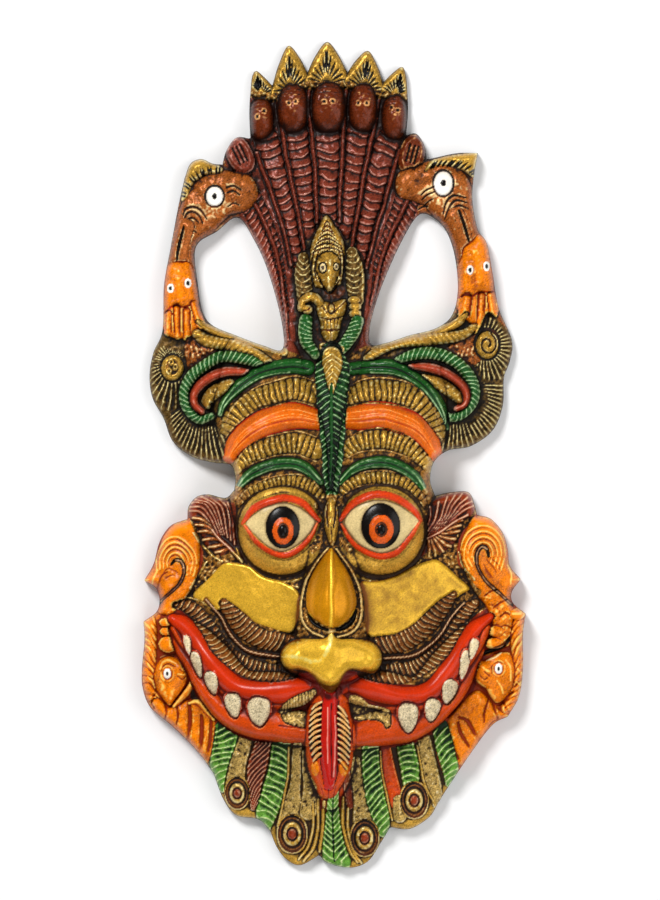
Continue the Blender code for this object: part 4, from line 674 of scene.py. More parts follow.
    # Sleeves either side, curls under the belly, and the plait between the brow's columns
    relief.band([(-28, 134, 13), (-29, 122, 13), (-27, 111, 12), (-19, 100, 9)], 3.8, "green", sink=-3.6,
                moat=1, rib=-1.4, pitch=4.6, slant=2, grain=0.2)
    relief.band([(23, 134, 12), (19, 122, 13), (12, 111, 12), (3, 100, 8)], 3.8, "green", sink=-3.6,
                moat=1, rib=-1.4, pitch=4.8, slant=-5, grain=0.2)
    for curl in ((-11, 108), (-2, 109), (6, 105), (-8, 100), (1, 98)):
        relief.ring(curl, (3, 2.6), 2, 1.2, "pale_gold")
    relief.band([(-2, 103, 22), (-2, 89, 33), (-2, 70, 33), (-2, 45, 29), (-2, 15, 24), (-2, -10, 19),
                 (-2, -30, 15), (-3, -45, 10)], 3.0, "green", sink=0.2, rib=-1.2, pitch=6.4, vee=-9,
                grain=0.1)
    relief.band([(-2, 99, 18), (-2, 91, 19), (-2, 77, 12), (-2, 63, 4)], 1.6, "pale_gold", sink=-2.8,
                rib=-1.0, pitch=5.6, vee=-7)
    relief.band([(-2, 71, 3), (-3, 25, 3), (-3, -43, 2)], 0.9, "green", sink=-3.0)
    # The plait's lower part brushed darker
    relief.brush([(-2, 25, 24), (-2, -15, 20), (-3, -45, 14)], -0.3)


def fringe(relief, rows, hub, count, length, width, depth):
    """Dark strokes that stand along a curve and point away from a hub."""
    line = curve(rows)
    for k in range(count):
        foot = line[round((k + 0.5) / count * (len(line) - 1)), :2]
        away = length * (foot - hub) / math.hypot(*(foot - hub))
        relief.cut([(*foot, width), (*(foot + 0.6 * away), width), (*(foot + away), 1)], depth, "black")


def handles(relief):
    """Both birds, whose necks make handles, and the small beasts' heads that swallow their beaks."""
    # Left bird: neck and head, crest, creases by the eye and under it, beak
    relief.band([(-96, 263, 40), (-120, 258, 50), (-138, 233, 40), (-150, 205, 32), (-154, 180, 32)], 5.0,
                "copper", sink=-0.2)
    relief.patch([(-153, 255), (-150, 275), (-144, 291), (-133, 297), (-121, 292), (-112, 287),
                  (-114, 282), (-129, 280), (-141, 271), (-147, 258)], 3.4, "pale_gold", edge=3,
                 sink=-1.5)
    fringe(relief,
           [(-150, 256), (-146, 266), (-139, 274), (-130, 280), (-121, 282), (-113, 282)], (-120, 247),
           13, 7.5, 2.6, 1.6)
    for crease in (
        [(-108, 267, 2.4), (-101, 269, 3), (-93, 265, 2.4)],
        [(-107, 262, 2), (-101, 264, 2.6), (-94, 260, 2)],
        [(-106, 248, 1.6), (-100, 252, 2), (-95, 250, 1.6)],
        [(-151, 239, 2), (-148, 246, 3), (-141, 248, 3.4), (-134, 245, 3.4), (-127, 235, 2)],
        [(-151, 232, 2), (-147, 241, 3), (-141, 243, 3), (-135, 239, 3), (-131, 231, 2)],
        [(-150, 226, 2), (-146, 235, 3), (-140, 236, 3), (-135, 231, 2)],
        [(-153, 219, 2), (-150, 225, 2.6), (-144, 227, 2.6), (-138, 222, 2)],
        [(-143, 219, 1.6), (-146, 207, 2), (-147, 193, 1.6)],
    ):
        relief.cut(crease, 1.5, "umber")
    # Painted highlights on the bird's cheek and by the eye, painted shade along the neck and under the
    # crest
    relief.brush([(-142, 249, 10), (-129, 243, 22), (-121, 245, 24), (-108, 249, 18)], 1.3)
    relief.brush([(-108, 271, 4), (-100, 269, 5), (-93, 265, 4)], 1.3)
    relief.brush([(-102, 241, 10), (-119, 231, 12), (-134, 215, 12), (-141, 193, 12)], -0.4)
    relief.brush([(-151, 250, 8), (-156, 225, 9), (-164, 199, 9)], -0.45)
    relief.brush([(-139, 269, 6), (-128, 275, 7), (-112, 277, 7), (-98, 272, 6)], -0.5)
    relief.band([(-148, 227, 18), (-152, 213, 16), (-154, 193, 15)], 2.2, "copper", sink=-3.4)
    relief.cut([(-151, 227, 3), (-155, 212, 4), (-157, 195, 3)], 2.2, "black")
    # Right bird
    relief.band([(78, 271, 34), (106, 269, 52), (124, 241, 42), (132, 217, 34), (140, 187, 34)], 5.0,
                "copper", sink=-0.2)
    relief.patch([(90, 283), (96, 294), (112, 299), (128, 301.5), (145, 304), (141, 279), (128, 285),
                  (112, 289), (100, 288)], 3.4, "pale_gold", edge=3, sink=-1.5)
    fringe(relief,
           [(94, 286), (106, 289), (118, 289), (129, 286), (140, 279)], (68, 241), 12, 8.5, 2.6, 1.6)
    for crease in (
        [(87, 260, 2), (92, 265, 2.6), (99, 268, 2)],
        [(88, 255, 2), (93, 260, 2.6), (100, 263, 2)],
        [(90, 249, 1.6), (94, 253, 2), (99, 256, 1.6)],
        [(109, 241, 2), (112, 252, 3), (120, 259, 3.4), (132, 257, 2)],
        [(111, 236, 2), (115, 247, 3), (122, 254, 3), (133, 252, 2)],
        [(115, 235, 2), (119, 245, 3), (125, 249, 3), (134, 246, 2)],
        [(84, 245, 1.6), (89, 248, 2), (94, 248, 1.6)],
    ):
        relief.cut(crease, 1.5, "umber")
    # Painted highlights on the bird's cheek and crest, painted shade along the neck and its outer edge
    relief.brush([(86, 262, 8), (96, 267, 16), (102, 257, 18), (114, 249, 14)], 1.3)
    relief.brush([(120, 275, 12), (128, 263, 10)], 0.9)
    relief.brush([(90, 239, 10), (106, 237, 10), (116, 223, 10), (124, 199, 10)], -0.4)
    relief.brush([(140, 273, 8), (138, 250, 9), (146, 223, 8)], -0.45)
    relief.band([(122, 239, 18), (128, 225, 17), (133, 209, 14)], 2.2, "copper", sink=-3.4)
    relief.cut([(125, 244, 3), (130, 229, 4), (135, 213, 3)], 2.2, "black")
    for centre, radii, pupil in (
        ((-119.5, 258.5), (8.4, 9.6), (2.3, 3.3)),
        ((109, 271.5), (9.3, 12), (2.8, 3.4)),
    ):
        relief.ring(centre, (radii[0] + 1, radii[1] + 1), 2.4, -0.8, "umber")
        relief.oval(centre, radii, 1.2, "chalk")
        relief.oval(centre, pupil, 0.4, "black")
    # Beasts' heads: form, eyes, mouth, then the tongue and tusks
    for form, eyes, lips, strips in (
        ([(-164, 192), (-153, 194), (-143, 191), (-138, 170), (-135, 145), (-137, 125), (-150, 117),
          (-166, 120), (-174, 137), (-171, 165), (-169, 183)],
         ((-163.5, 166.5), (-146, 171.5)),
         [(-169, 142, 2), (-164, 147, 2.4), (-158, 149, 2.6), (-152, 147, 2.4), (-145, 149, 2)],
         ([(-166, 141, 8), (-167, 123, 8)],
          [(-158, 147, 8), (-157, 119, 7)],
          [(-148, 143, 9), (-147, 117, 8)],
          [(-141, 151, 8), (-134, 131, 10)])),
        ([(127, 199), (129, 208), (138, 215), (145, 221), (154, 212), (158, 193), (161, 165), (165, 145),
          (155, 137), (142, 130), (128, 139), (121, 155), (122, 180)],
         ((135.7, 184.7), (152.3, 188.6)),
         [(124, 157, 2), (131, 160, 2.4), (138, 159, 2.6), (145, 163, 2.6), (153, 163, 2.4),
          (160, 164, 2)],
         ([(132, 157, 12), (130, 141, 12)],
          [(147, 159, 9), (146, 141, 9), (143, 121, 5)],
          [(156, 160, 9), (159, 141, 9)])),
    ):
        relief.patch(form, 5.4, "orange", edge=14, sink=-1.2, grain=0.06)
        # Painted shade round the eyes, under the mouth and on the far side, and a painted highlight down
        # the near side
        relief.brush([(*eyes[0], 60), (*eyes[1], 60)], -0.4)
        (x, y), (far_x, far_y) = eyes
        relief.brush([(x + 5, y + 20, 7), (x + 8, y + 6, 9), (x + 9, y - 12, 7)], 1.2)
        relief.brush([(row[0], row[1] + 3, 12) for row in lips], -0.8)
        relief.brush([(far_x + 7, far_y + 16, 8), (far_x + 8, far_y, 8), (far_x + 10, far_y - 30, 9)],
                     -0.7)
        for strip in strips:
            # Painted shade round each strip and a painted highlight line along it
            relief.brush([(row[0], row[1], row[2] + 5) for row in strip], -0.6)
            relief.band(strip, 2.2, "orange", sink=-2.8, fullness=0.8, grain=0.1)
            relief.brush([(row[0] - 0.5, row[1], 3) for row in strip], 1.6)
        relief.cut(lips, 1.4, "vermilion")
        for place in eyes:
            relief.ring(place, (5, 6), 2, 0.5)
            relief.oval(place, (3.5, 4.8), 1.0, "chalk")
            relief.oval(place, (1.7, 2.4), 0.4, "black")


def fan(relief, rows, hub, count):
    """Fine raised feather lines on a dark ground, fading towards a smooth rim."""
    part, depth = relief.depth_in(curve(rows, closed=True), 8.0)
    x, y = np.meshgrid(relief.x[part[1]], relief.y[part[0]])
    away = np.hypot(x - hub[0], y - hub[1])
    turn = np.arctan2(y - hub[1], x - hub[0])
    ridge = 1 - np.abs(np.sin(0.5 * count * turn + 0.02 * away + 0.3 * relief.mottle[part]))
    ridge *= np.clip(depth / 4 - 0.3, 0, 1)
    relief.lay(part, depth > 0, 2.1 * ridge + 0.1 * relief.grain[part], "olive")


def wings(relief):
    """The scrolled wings between the handles and the brow."""
    fan(relief,
        [(-164, 51), (-168, 39), (-158, 11), (-142, -4), (-120, -10), (-94, -15), (-106, 15), (-120, 31),
         (-142, 31), (-153, 51)], (-131, 63), 72)
    fan(relief,
        [(-176, 110), (-186, 83), (-183, 57), (-172, 41), (-156, 45), (-153, 63), (-148, 79), (-150, 103),
         (-162, 107)], (-162, 93), 36)
    fan(relief,
        [(169, 77), (171, 50), (161, 23), (138, 7), (114, 2), (98, -9), (106, 19), (116, 33), (138, 35),
         (150, 53), (148, 75)], (118, 67), 70)
    fan(relief,
        [(154, 143), (166, 133), (180, 115), (178, 94), (172, 75), (148, 73), (140, 91), (140, 115),
         (146, 129)], (150, 109), 36)
    relief.patch([(-148, 117), (-120, 111), (-120, 91), (-144, 83)], 1.6, "copper", edge=6, grain=0.15)
    relief.patch([(112, 107), (144, 121), (146, 93), (118, 91)], 1.6, "copper", edge=6, grain=0.15)
    # Raised lines on the copper patches, each given a painted highlight
    for k in range(6):
        relief.brush([(-143 + 5 * k, 108 - k, 2), (-141 + 5 * k, 98 + 2 * k, 3)], 0.6, 0.6)
        relief.brush([(114 + 5 * k, 98 + 2 * k, 2), (112 + 5 * k, 92 + 2 * k, 3)], 0.6, 0.6)
    # Coiled ends
    relief.oval((-162, 87), (13, 15), 0.4, "umber", lift=0)
    relief.oval((153, 111), (14, 17), 0.4, "umber", lift=0)
    relief.oval((-162, 87), (11, 12.5), 2.4, "pale_gold", lift=1)
    relief.oval((-162, 88), (6.5, 8), -1.8, "dark_brass")
    for curl in ((-165, 84), (-159, 88), (-163, 93)):
        relief.ring(curl, (1.8, 2.4), 1.8, 1.2, "pale_gold")
    relief.oval((153, 110), (11, 13.5), 2.4, "pale_gold", lift=1)
    spiral = []
    for k in range(13):
        turn, reach = 1.2 - 0.7 * k, 9.5 - 0.62 * k
        spiral.append((153 + reach * math.cos(turn), 111 + 1.25 * reach * math.sin(turn), 2.6))
    relief.cut(spiral, 1.6, "umber")
    # Edge of the gap, beaded band, green scroll, red scroll inside it, and the tongue between
    beaded = dict(finish="pale_gold", rise=3.4, sink=-2, rib=1.4, pitch=5.6)
    relief.band([(-136, 133, 6), (-124, 126, 8), (-108, 121, 8), (-89, 115, 8), (-68, 108, 8),
                 (-50, 103, 8)], 2.4, "pale_gold", sink=-1.2, grain=0.1)
    relief.band([(-138, 121, 9), (-130, 115, 11), (-114, 111, 12), (-98, 108, 12), (-82, 102, 11),
                 (-70, 95, 9), (-60, 89, 6)], slant=3, moat=2, **beaded)
    relief.band([(40, 106, 6), (56, 113, 8), (74, 119, 8), (94, 123, 8), (112, 127, 8), (124, 133, 8),
                 (132, 141, 6)], 2.4, "pale_gold", sink=-1.2, grain=0.1)
    relief.band([(32, 96, 7), (44, 104, 10), (60, 111, 11), (80, 115, 12), (102, 116, 12), (118, 118, 11),
                 (130, 121, 9), (140, 128, 7)], slant=-3, moat=2, **beaded)
    for green, red, tongue in (
        ([(-72, 89, 7), (-84, 95, 11), (-98, 98, 12), (-114, 97, 12), (-130, 89, 12), (-142, 79, 12),
          (-149, 65, 11), (-149, 53, 11), (-144, 42, 10), (-134, 35, 9), (-122, 39, 7)],
         [(-84, 82, 5), (-94, 83.5, 8), (-108, 82.5, 9), (-123, 78, 9), (-134, 70, 9), (-140, 60, 8),
          (-139, 50, 8), (-132, 43, 7)],
         [(-104, 71, 8), (-112, 67, 12), (-121, 62, 14), (-127, 54, 11), (-126, 49, 6)]),
        ([(64, 94, 7), (78, 100, 11), (92, 102, 12), (108, 99, 12), (123, 92, 12), (135, 79, 12),
          (140, 65, 11), (139, 52, 10), (131, 42, 9), (118, 37, 8), (109, 41, 6)],
         [(76, 88, 5), (88, 88.5, 8), (100, 86, 9), (114, 80.5, 9), (126, 72, 9), (132, 62, 9),
          (131, 51, 8), (122, 46, 6)],
         [(90, 78, 6), (100, 74, 11), (111, 68, 13), (121, 60, 12), (125, 54, 8)]),
    ):
        relief.band(green, 4.6, "green", sink=-1.6, moat=1.6, rib=-1.1, pitch=5, slant=3)
        # Painted light along the green scroll, painted shade over the red one and a painted highlight
        # line along its top
        relief.brush([(row[0], row[1], 4) for row in green], 0.3)
        relief.band(red, 4.6, "scroll_red", sink=-2, moat=1.6)
        relief.brush([(row[0], row[1], 10) for row in red], -0.2)
        relief.brush([(row[0], row[1] + 0.5, 2) for row in red[1:]], 1.1)
        relief.band(tongue, 4.4, "pale_gold", sink=-1, moat=1.6, grain=0.3)


def brow(relief):
    """Rings round the two brow columns, from the crest down to the eyelids."""
    for green in (
        [(-113, 41, 5), (-109, 52, 9), (-100, 64, 12), (-83, 77.5, 14), (-64, 86, 15), (-44, 88.5, 16),
         (-27, 87, 16)],
        [(-97, -34, 6), (-91, -26, 9), (-80, -17, 11), (-62, -10, 12), (-42, -8.5, 12), (-26, -15, 12),
         (-13, -27, 8)],
        [(18, 86, 14), (36, 88, 15), (62, 86, 15), (84, 74, 14), (100, 57, 13), (109, 39, 11),
         (112, 27, 6)],
        [(6, -27, 7), (18, -15, 10), (34, -8, 12), (52, -7, 12), (68, -13, 12), (82, -24, 10),
         (91, -36, 6)],
    ):
        relief.band(green, 3.2, "green", moat=1.6, groove=(0.1, 1.2))
        # A painted highlight streak along each green band, and a raised line below it brushed lighter
        relief.brush([(x, y + 0.28 * w, 1.8) for x, y, w in green], 0.9)
        relief.brush([(x, y - 0.4 * w, 2) for x, y, w in green[1:-1]], 0.5, 0.3)
    for band in (
        [(-105, -3, 12), (-96, 12, 22), (-78, 27.5, 26), (-57, 36.5, 28), (-37, 39, 26), (-14, 35, 20)],
        [(8, 36, 20), (26, 38, 26), (51, 39, 28), (73, 32, 26), (90, 20, 24), (101, 0, 14)],
    ):
        relief.band(band, 3.8, "band_orange", fullness=0.6, moat=1)
        # Painted shade along the band's top edge; its lower part brushed darker; painted highlight lines
        # across it
        relief.brush([(x, y + 0.4 * w, 0.3 * w) for x, y, w in band], -0.7)
        relief.cut([(x, y - 0.14 * w, 2) for x, y, w in band], 0.5)
        relief.brush([(x, y - 0.32 * w, 0.5 * w) for x, y, w in band], -0.5)
        for share, width in ((0.22, 1.6), (0.06, 1.4), (-0.04, 1.4), (-0.22, 1.6)):
            relief.brush([(x, y + share * w, width) for x, y, w in band], 0.7, 0.2)
    for ribs, pitch in (
        ([(-108, 25, 12), (-102, 36, 17), (-91, 47, 19), (-78, 56, 19), (-59, 62, 20), (-38, 66, 21),
          (-21, 62, 20)], 5.9),
        ([(-98, -15, 10), (-91, -6, 14), (-80, 2, 17), (-60, 9, 18), (-38, 12, 20), (-18, 6, 21)], 5.4),
        ([(-94, -47, 7), (-88, -40, 9), (-77, -33, 10), (-58, -27, 10), (-39, -26, 11), (-22, -32, 12),
          (-14, -40, 9)], 4.8),
        ([(12, 57, 16), (28, 63, 20), (50, 64, 22), (72, 60, 21), (90, 48, 19), (102, 32, 15),
          (107, 21, 10)], 5.9),
        ([(10, 5, 14), (28, 14, 17), (52, 15, 18), (74, 8, 17), (89, -5, 14), (97, -17, 10)], 5.4),
        ([(6, -36, 8), (22, -26, 10), (46, -22, 12), (69, -28, 12), (84, -39, 10), (89, -47, 7)], 4.8),
    ):
        relief.band(ribs, 2.8, "pale_gold", moat=1, rib=1.9, pitch=pitch, fullness=0.3, grain=0.1)
        for share in (-0.6, 0.6):
            relief.cut([(x, y + share * w, 1.8) for x, y, w in ribs], -0.9, "dark_brass")


def eye(relief, centre, white, lids, balls):
    """A staring eye: its white, the black, orange and black of the iris, and the lids' rims."""
    for rows in lids:
        relief.band([(x, y, w + 5) for x, y, w in rows], 1.0, "pale_gold", sink=-0.2)
    relief.patch(white, 1.0, "eye_white", edge=6, sink=0.2)
    black, iris, ring, pupil = balls
    low = centre[0] + 0.5, centre[1] - 3.5
    relief.oval(centre, black, 1.6, "black")
    relief.oval(low, iris, 0.9, "eye_orange")
    relief.oval(low, ring, 0.4)
    relief.ring(low, ring, 1.8, -0.3, "umber")
    relief.oval(low, pupil, 0.6, "black")
    for rows in lids:
        relief.band(rows, 1.6, "vermilion", sink=-0.4)


def face(relief):
    """Eyes, cheeks, moustache and nose."""
    for round_ in (
        [(-98, -73), (-94, -53), (-78, -37), (-50, -30), (-28, -35), (-14, -51), (-11, -75), (-16, -101),
         (-34, -117), (-54, -121), (-76, -116), (-91, -101)],
        [(3, -73), (6, -51), (24, -34), (48, -28), (72, -34), (88, -51), (93, -77), (86, -101),
         (68, -117), (46, -122), (24, -116), (8, -101)],
    ):
        relief.patch(round_, 0.8, "old_gold", edge=4, sink=0.2, grain=0.05)
        # Painted shade round the edge of each eye's gold surround
        relief.brush([(*point, 16) for point in round_ + round_[:1]], -0.5)
    # Stippled bands under the eyes, round the cheeks and between the brows
    relief.wash([(-18, -45), (-3, -39), (12, -45), (16, -65), (18, -97), (6, -90), (-3, -87), (-12, -90),
                 (-23, -97), (-21, -65)], "dark_brass", 0.12)
    relief.wash([(-98, -97), (-76, -122), (-52, -127), (-28, -117), (-28, -135), (-31, -157), (-34, -179),
                 (-84, -177), (-108, -157), (-148, -151), (-144, -133), (-130, -111), (-114, -101)],
                "dark_brass", 0.12)
    relief.wash([(92, -97), (68, -123), (46, -128), (18, -117), (20, -135), (23, -157), (28, -183),
                 (70, -183), (92, -165), (144, -141), (140, -129), (126, -111), (106, -97)], "dark_brass",
                0.12)
    for line in (
        [(-98, -93, 2.4), (-90, -109, 3.4), (-74, -121, 3.6), (-52, -126, 3.6), (-32, -122, 3.4),
         (-18, -107, 2.6)],
        [(9, -105, 2.6), (23, -121, 3.4), (46, -127, 3.6), (70, -122, 3.4), (86, -105, 2.6)],
        [(-82, -115, 2), (-68, -124, 2.6), (-51, -129, 2.6), (-36, -131, 2)],
        [(28, -128, 2), (48, -131, 2.6), (68, -126, 2.6), (82, -117, 2)],
        [(-144, -133, 2), (-136, -120, 3), (-128, -107, 2.4)],
        [(-140, -77, 2), (-134, -87, 3), (-128, -94, 3), (-120, -102, 2.4), (-112, -106, 2)],
        [(124, -97, 2), (130, -113, 3), (140, -125, 2.4)],
        [(-12, -97, 2), (-20, -111, 2.4)],
        [(7, -97, 2), (16, -111, 2.4)],
        [(-148, -142, 2), (-132, -146, 2.6), (-118, -155, 2.6), (-104, -148, 2)],
    ):
        relief.cut(line, -1.0, "pale_gold")
    for cheek in (
        [(-141, -139.5), (-124, -122), (-111, -108), (-96, -107.5), (-83.5, -111), (-69.5, -121),
         (-52, -125.5), (-39, -132.5), (-34, -140), (-32.5, -149), (-37, -165), (-42, -175),
         (-50, -175.5), (-66, -171), (-80, -166), (-89, -158), (-99.5, -150), (-106.5, -147.5),
         (-112, -152), (-119, -154.5), (-129.5, -146.5)],
        [(26.5, -126), (44.5, -125), (62.5, -119.5), (80, -110), (93, -105.5), (102, -104.5),
         (112.5, -111.5), (123, -121.5), (135, -133), (126.5, -139), (116, -146.5), (102, -153.5),
         (91, -162.5), (80, -171.5), (62, -180.5), (44, -182), (33, -177.5), (29.5, -160.5),
         (26.5, -141)],
    ):
        relief.patch(cheek, 1.4, "gold", edge=2.4, level=0.7)
    # Painted shade over the right cheek and painted light over the left
    relief.brush([(38, -135, 70), (71, -153, 80), (116, -129, 60)], -0.4)
    relief.brush([(-124, -135, 50), (-89, -127, 60), (-42, -149, 60)], 0.5)
    eye(relief, (-51.1, -71.5),
        [(-88, -67.5), (-78, -57), (-64, -49), (-50, -46.5), (-35, -51), (-25, -58), (-18, -66),
         (-25, -79), (-37, -90), (-51, -96), (-64, -92), (-77, -81)],
        ([(-91, -68, 3), (-79, -53, 7), (-63, -45, 7.6), (-47, -42.5, 7.6), (-31, -48, 7), (-15, -65, 4)],
         [(-89, -70, 2.4), (-78, -85, 4.6), (-64, -95.5, 5.6), (-49, -99, 6), (-35, -93, 5.4),
          (-24, -82, 4.4), (-17, -68, 2.4)]),
        ((16.8, 21), (10.4, 13.4), (4.8, 6.8), (4.4, 6.2)))
    eye(relief, (46, -70),
        [(8, -66), (18, -53), (32, -46), (47, -44), (62, -48), (74, -56), (84, -65), (76, -77), (64, -91),
         (46, -98), (29, -92), (17, -81)],
        ([(6, -64, 4), (16, -50, 7), (30, -42, 8), (46, -39, 8), (64, -44, 8), (78, -54, 6.4),
          (86, -65, 4)],
         [(7, -68, 2.4), (16, -83, 4.4), (29, -95, 5.6), (46, -100.5, 6), (63, -95, 5.6), (76, -81, 4.4),
          (85, -66, 2.4)]),
        ((19.4, 22.6), (12.2, 14.4), (5.4, 6.4), (4.4, 5.2)))
    relief.patch([(-3, -42), (3, -53), (4, -72), (-2, -90), (-9, -72), (-9, -53)], 3.2, "pale_gold",
                 edge=5, sink=-1)
    for groove in (
        [(-7, -49, 2), (-7.5, -59, 3), (-6, -71, 1.6)],
        [(0.5, -49, 2), (1, -59, 3), (-0.5, -71, 1.6)],
        [(-3, -71, 1.4), (-3, -85, 1.4)],
    ):
        relief.cut(groove, 1.4, "umber")
    # Moustache: two ribbed locks a side with a cord between them
    lock = dict(rise=3.2, finish="chestnut", sink=0.2, moat=1.6, rib=1.8, pitch=5.2, fullness=0.4,
                plates=True)
    relief.band([(-110, -148, 10), (-104, -156, 16), (-95, -167, 20), (-83, -177, 20), (-67, -184, 19),
                 (-44, -187, 17)], slant=3, bow=2, **lock)
    relief.band([(-158, -150, 8), (-148, -151, 14), (-136, -159, 16), (-125, -174, 17), (-113, -192, 18),
                 (-98, -205, 19), (-79, -213, 20), (-59, -216, 18), (-42, -215, 14)], slant=3, bow=2,
                **lock)
    relief.band([(120, -139, 7), (110, -150, 15), (98, -163, 19), (84, -176, 20), (66, -186, 20),
                 (38, -190, 18)], slant=-3, bow=2, **lock)
    relief.band([(142, -148, 8), (133, -154, 13), (123, -169, 16), (112, -187, 17), (98, -202, 18),
                 (82, -212, 19), (64, -217, 20), (46, -217, 19), (30, -214, 15)], slant=-3, bow=2, **lock)
    for cord in (
        [(-128, -144, 3), (-114, -160, 5), (-105, -176, 6), (-93, -190, 6), (-78, -197, 6),
         (-48, -200, 6)],
        [(130, -148, 3), (117, -162, 5), (108, -176, 6), (94, -191, 6), (74, -200, 6), (40, -203, 6)],
    ):
        # Painted shade beside each cord, and a painted highlight line along it
        relief.brush([(x, y, 14) for x, y, _ in cord], -0.4)
        relief.band([(x, y, 0.7 * w) for x, y, w in cord], 2.0, "umber", sink=0, moat=2.6, rib=0.8,
                    pitch=4, slant=3)
        relief.brush([(x, y + 0.4, 1.6) for x, y, _ in cord], 1.5)
    # Nose: a drop between thin rims, its nostrils, and the bow-shaped bulb below
    relief.wash([(-3, -85), (11, -101), (24, -125), (30, -151), (24, -177), (-3, -187), (-31, -177),
                 (-35, -151), (-30, -125), (-17, -101)], "dark_brass", 0.2)
    relief.patch([(-4, -92), (6, -104), (14, -117), (19, -130), (22, -145), (19, -156), (12, -164),
                  (2, -170), (-8, -169), (-18, -163), (-25, -157), (-28, -145), (-26, -129), (-21, -116),
                  (-13, -103)], 4.2, "amber", edge=20, sink=-0.6)
    # A painted highlight down the drop's ridge, which is also raised, and painted shade at its sides
    relief.brush([(-4, -97, 5), (-4, -120, 12), (-6, -143, 18), (-6, -159, 20), (-3, -179, 12)], 0.55,
                 1.2)
    relief.brush([(-3, -93, 3), (-3, -135, 5), (-3, -185, 6)], 0.35, 1.0)
    relief.brush([(4, -107, 8), (16, -127, 10), (20, -145, 10), (12, -161, 8)], -0.35)
    relief.brush([(-12, -107, 8), (-22, -125, 9), (-26, -145, 9), (-19, -160, 7)], -0.3)
    for rim in (
        [(-7, -92, 2.4), (-18, -106, 3), (-26, -120, 3), (-31, -135, 3), (-33, -150, 3.2),
         (-31, -164, 3.2), (-23, -174, 3.2), (-11, -179, 2.6)],
        [(2, -93, 2.4), (14, -110, 3), (23, -126, 3), (27, -142, 3), (27.5, -157, 3.2), (23, -170, 3.2),
         (13, -176.5, 3.2), (4, -179, 2.6)],
    ):
        relief.band([(x, y, 0.8 * w) for x, y, w in rim], 1.4, "dark_brass", sink=-1.2, moat=1.6)
        # A painted highlight along each rim
        relief.brush([(x, y, 1.4) for x, y, _ in rim], 0.5)
    relief.cut([(-25, -158, 3), (-21, -165, 5), (-14, -170, 5), (-6, -172, 3)], 2.4, "black")
    relief.cut([(22, -154, 3), (18, -164, 6.4), (10, -170, 6.4), (3, -172, 4)], 2.4, "black")
    relief.patch([(-3, -175), (3, -181), (21, -182), (36, -185), (45, -193), (47, -205), (40, -216),
                  (28, -214), (16, -212), (9, -219), (4, -229), (-3, -235), (-12, -230), (-20, -220),
                  (-27, -214), (-36, -212), (-46, -212), (-53, -204), (-52, -194), (-45, -186),
                  (-32, -182), (-10, -181)], 4.6, "gold", edge=14, sink=-0.4)
    # Painted highlights across the bulb's upper side and painted shade along its lower edge
    relief.brush([(-47, -198, 5), (-34, -200, 7), (-20, -203, 7), (-12, -200, 7), (-5, -188, 6),
                  (-3, -177, 6)], 1.7)
    relief.brush([(-42, -193, 8), (-26, -189, 12), (-8, -191, 14)], 0.6)
    relief.brush([(24, -200, 3), (34, -201, 4), (42, -202, 3)], 0.4)
    relief.brush([(-50, -213, 10), (-28, -217, 14), (-14, -230, 16), (-3, -235, 16), (8, -226, 15),
                  (18, -214, 12), (42, -217, 10)], -2.4)
    relief.brush([(4, -187, 6), (18, -193, 12), (38, -199, 14)], -0.7)


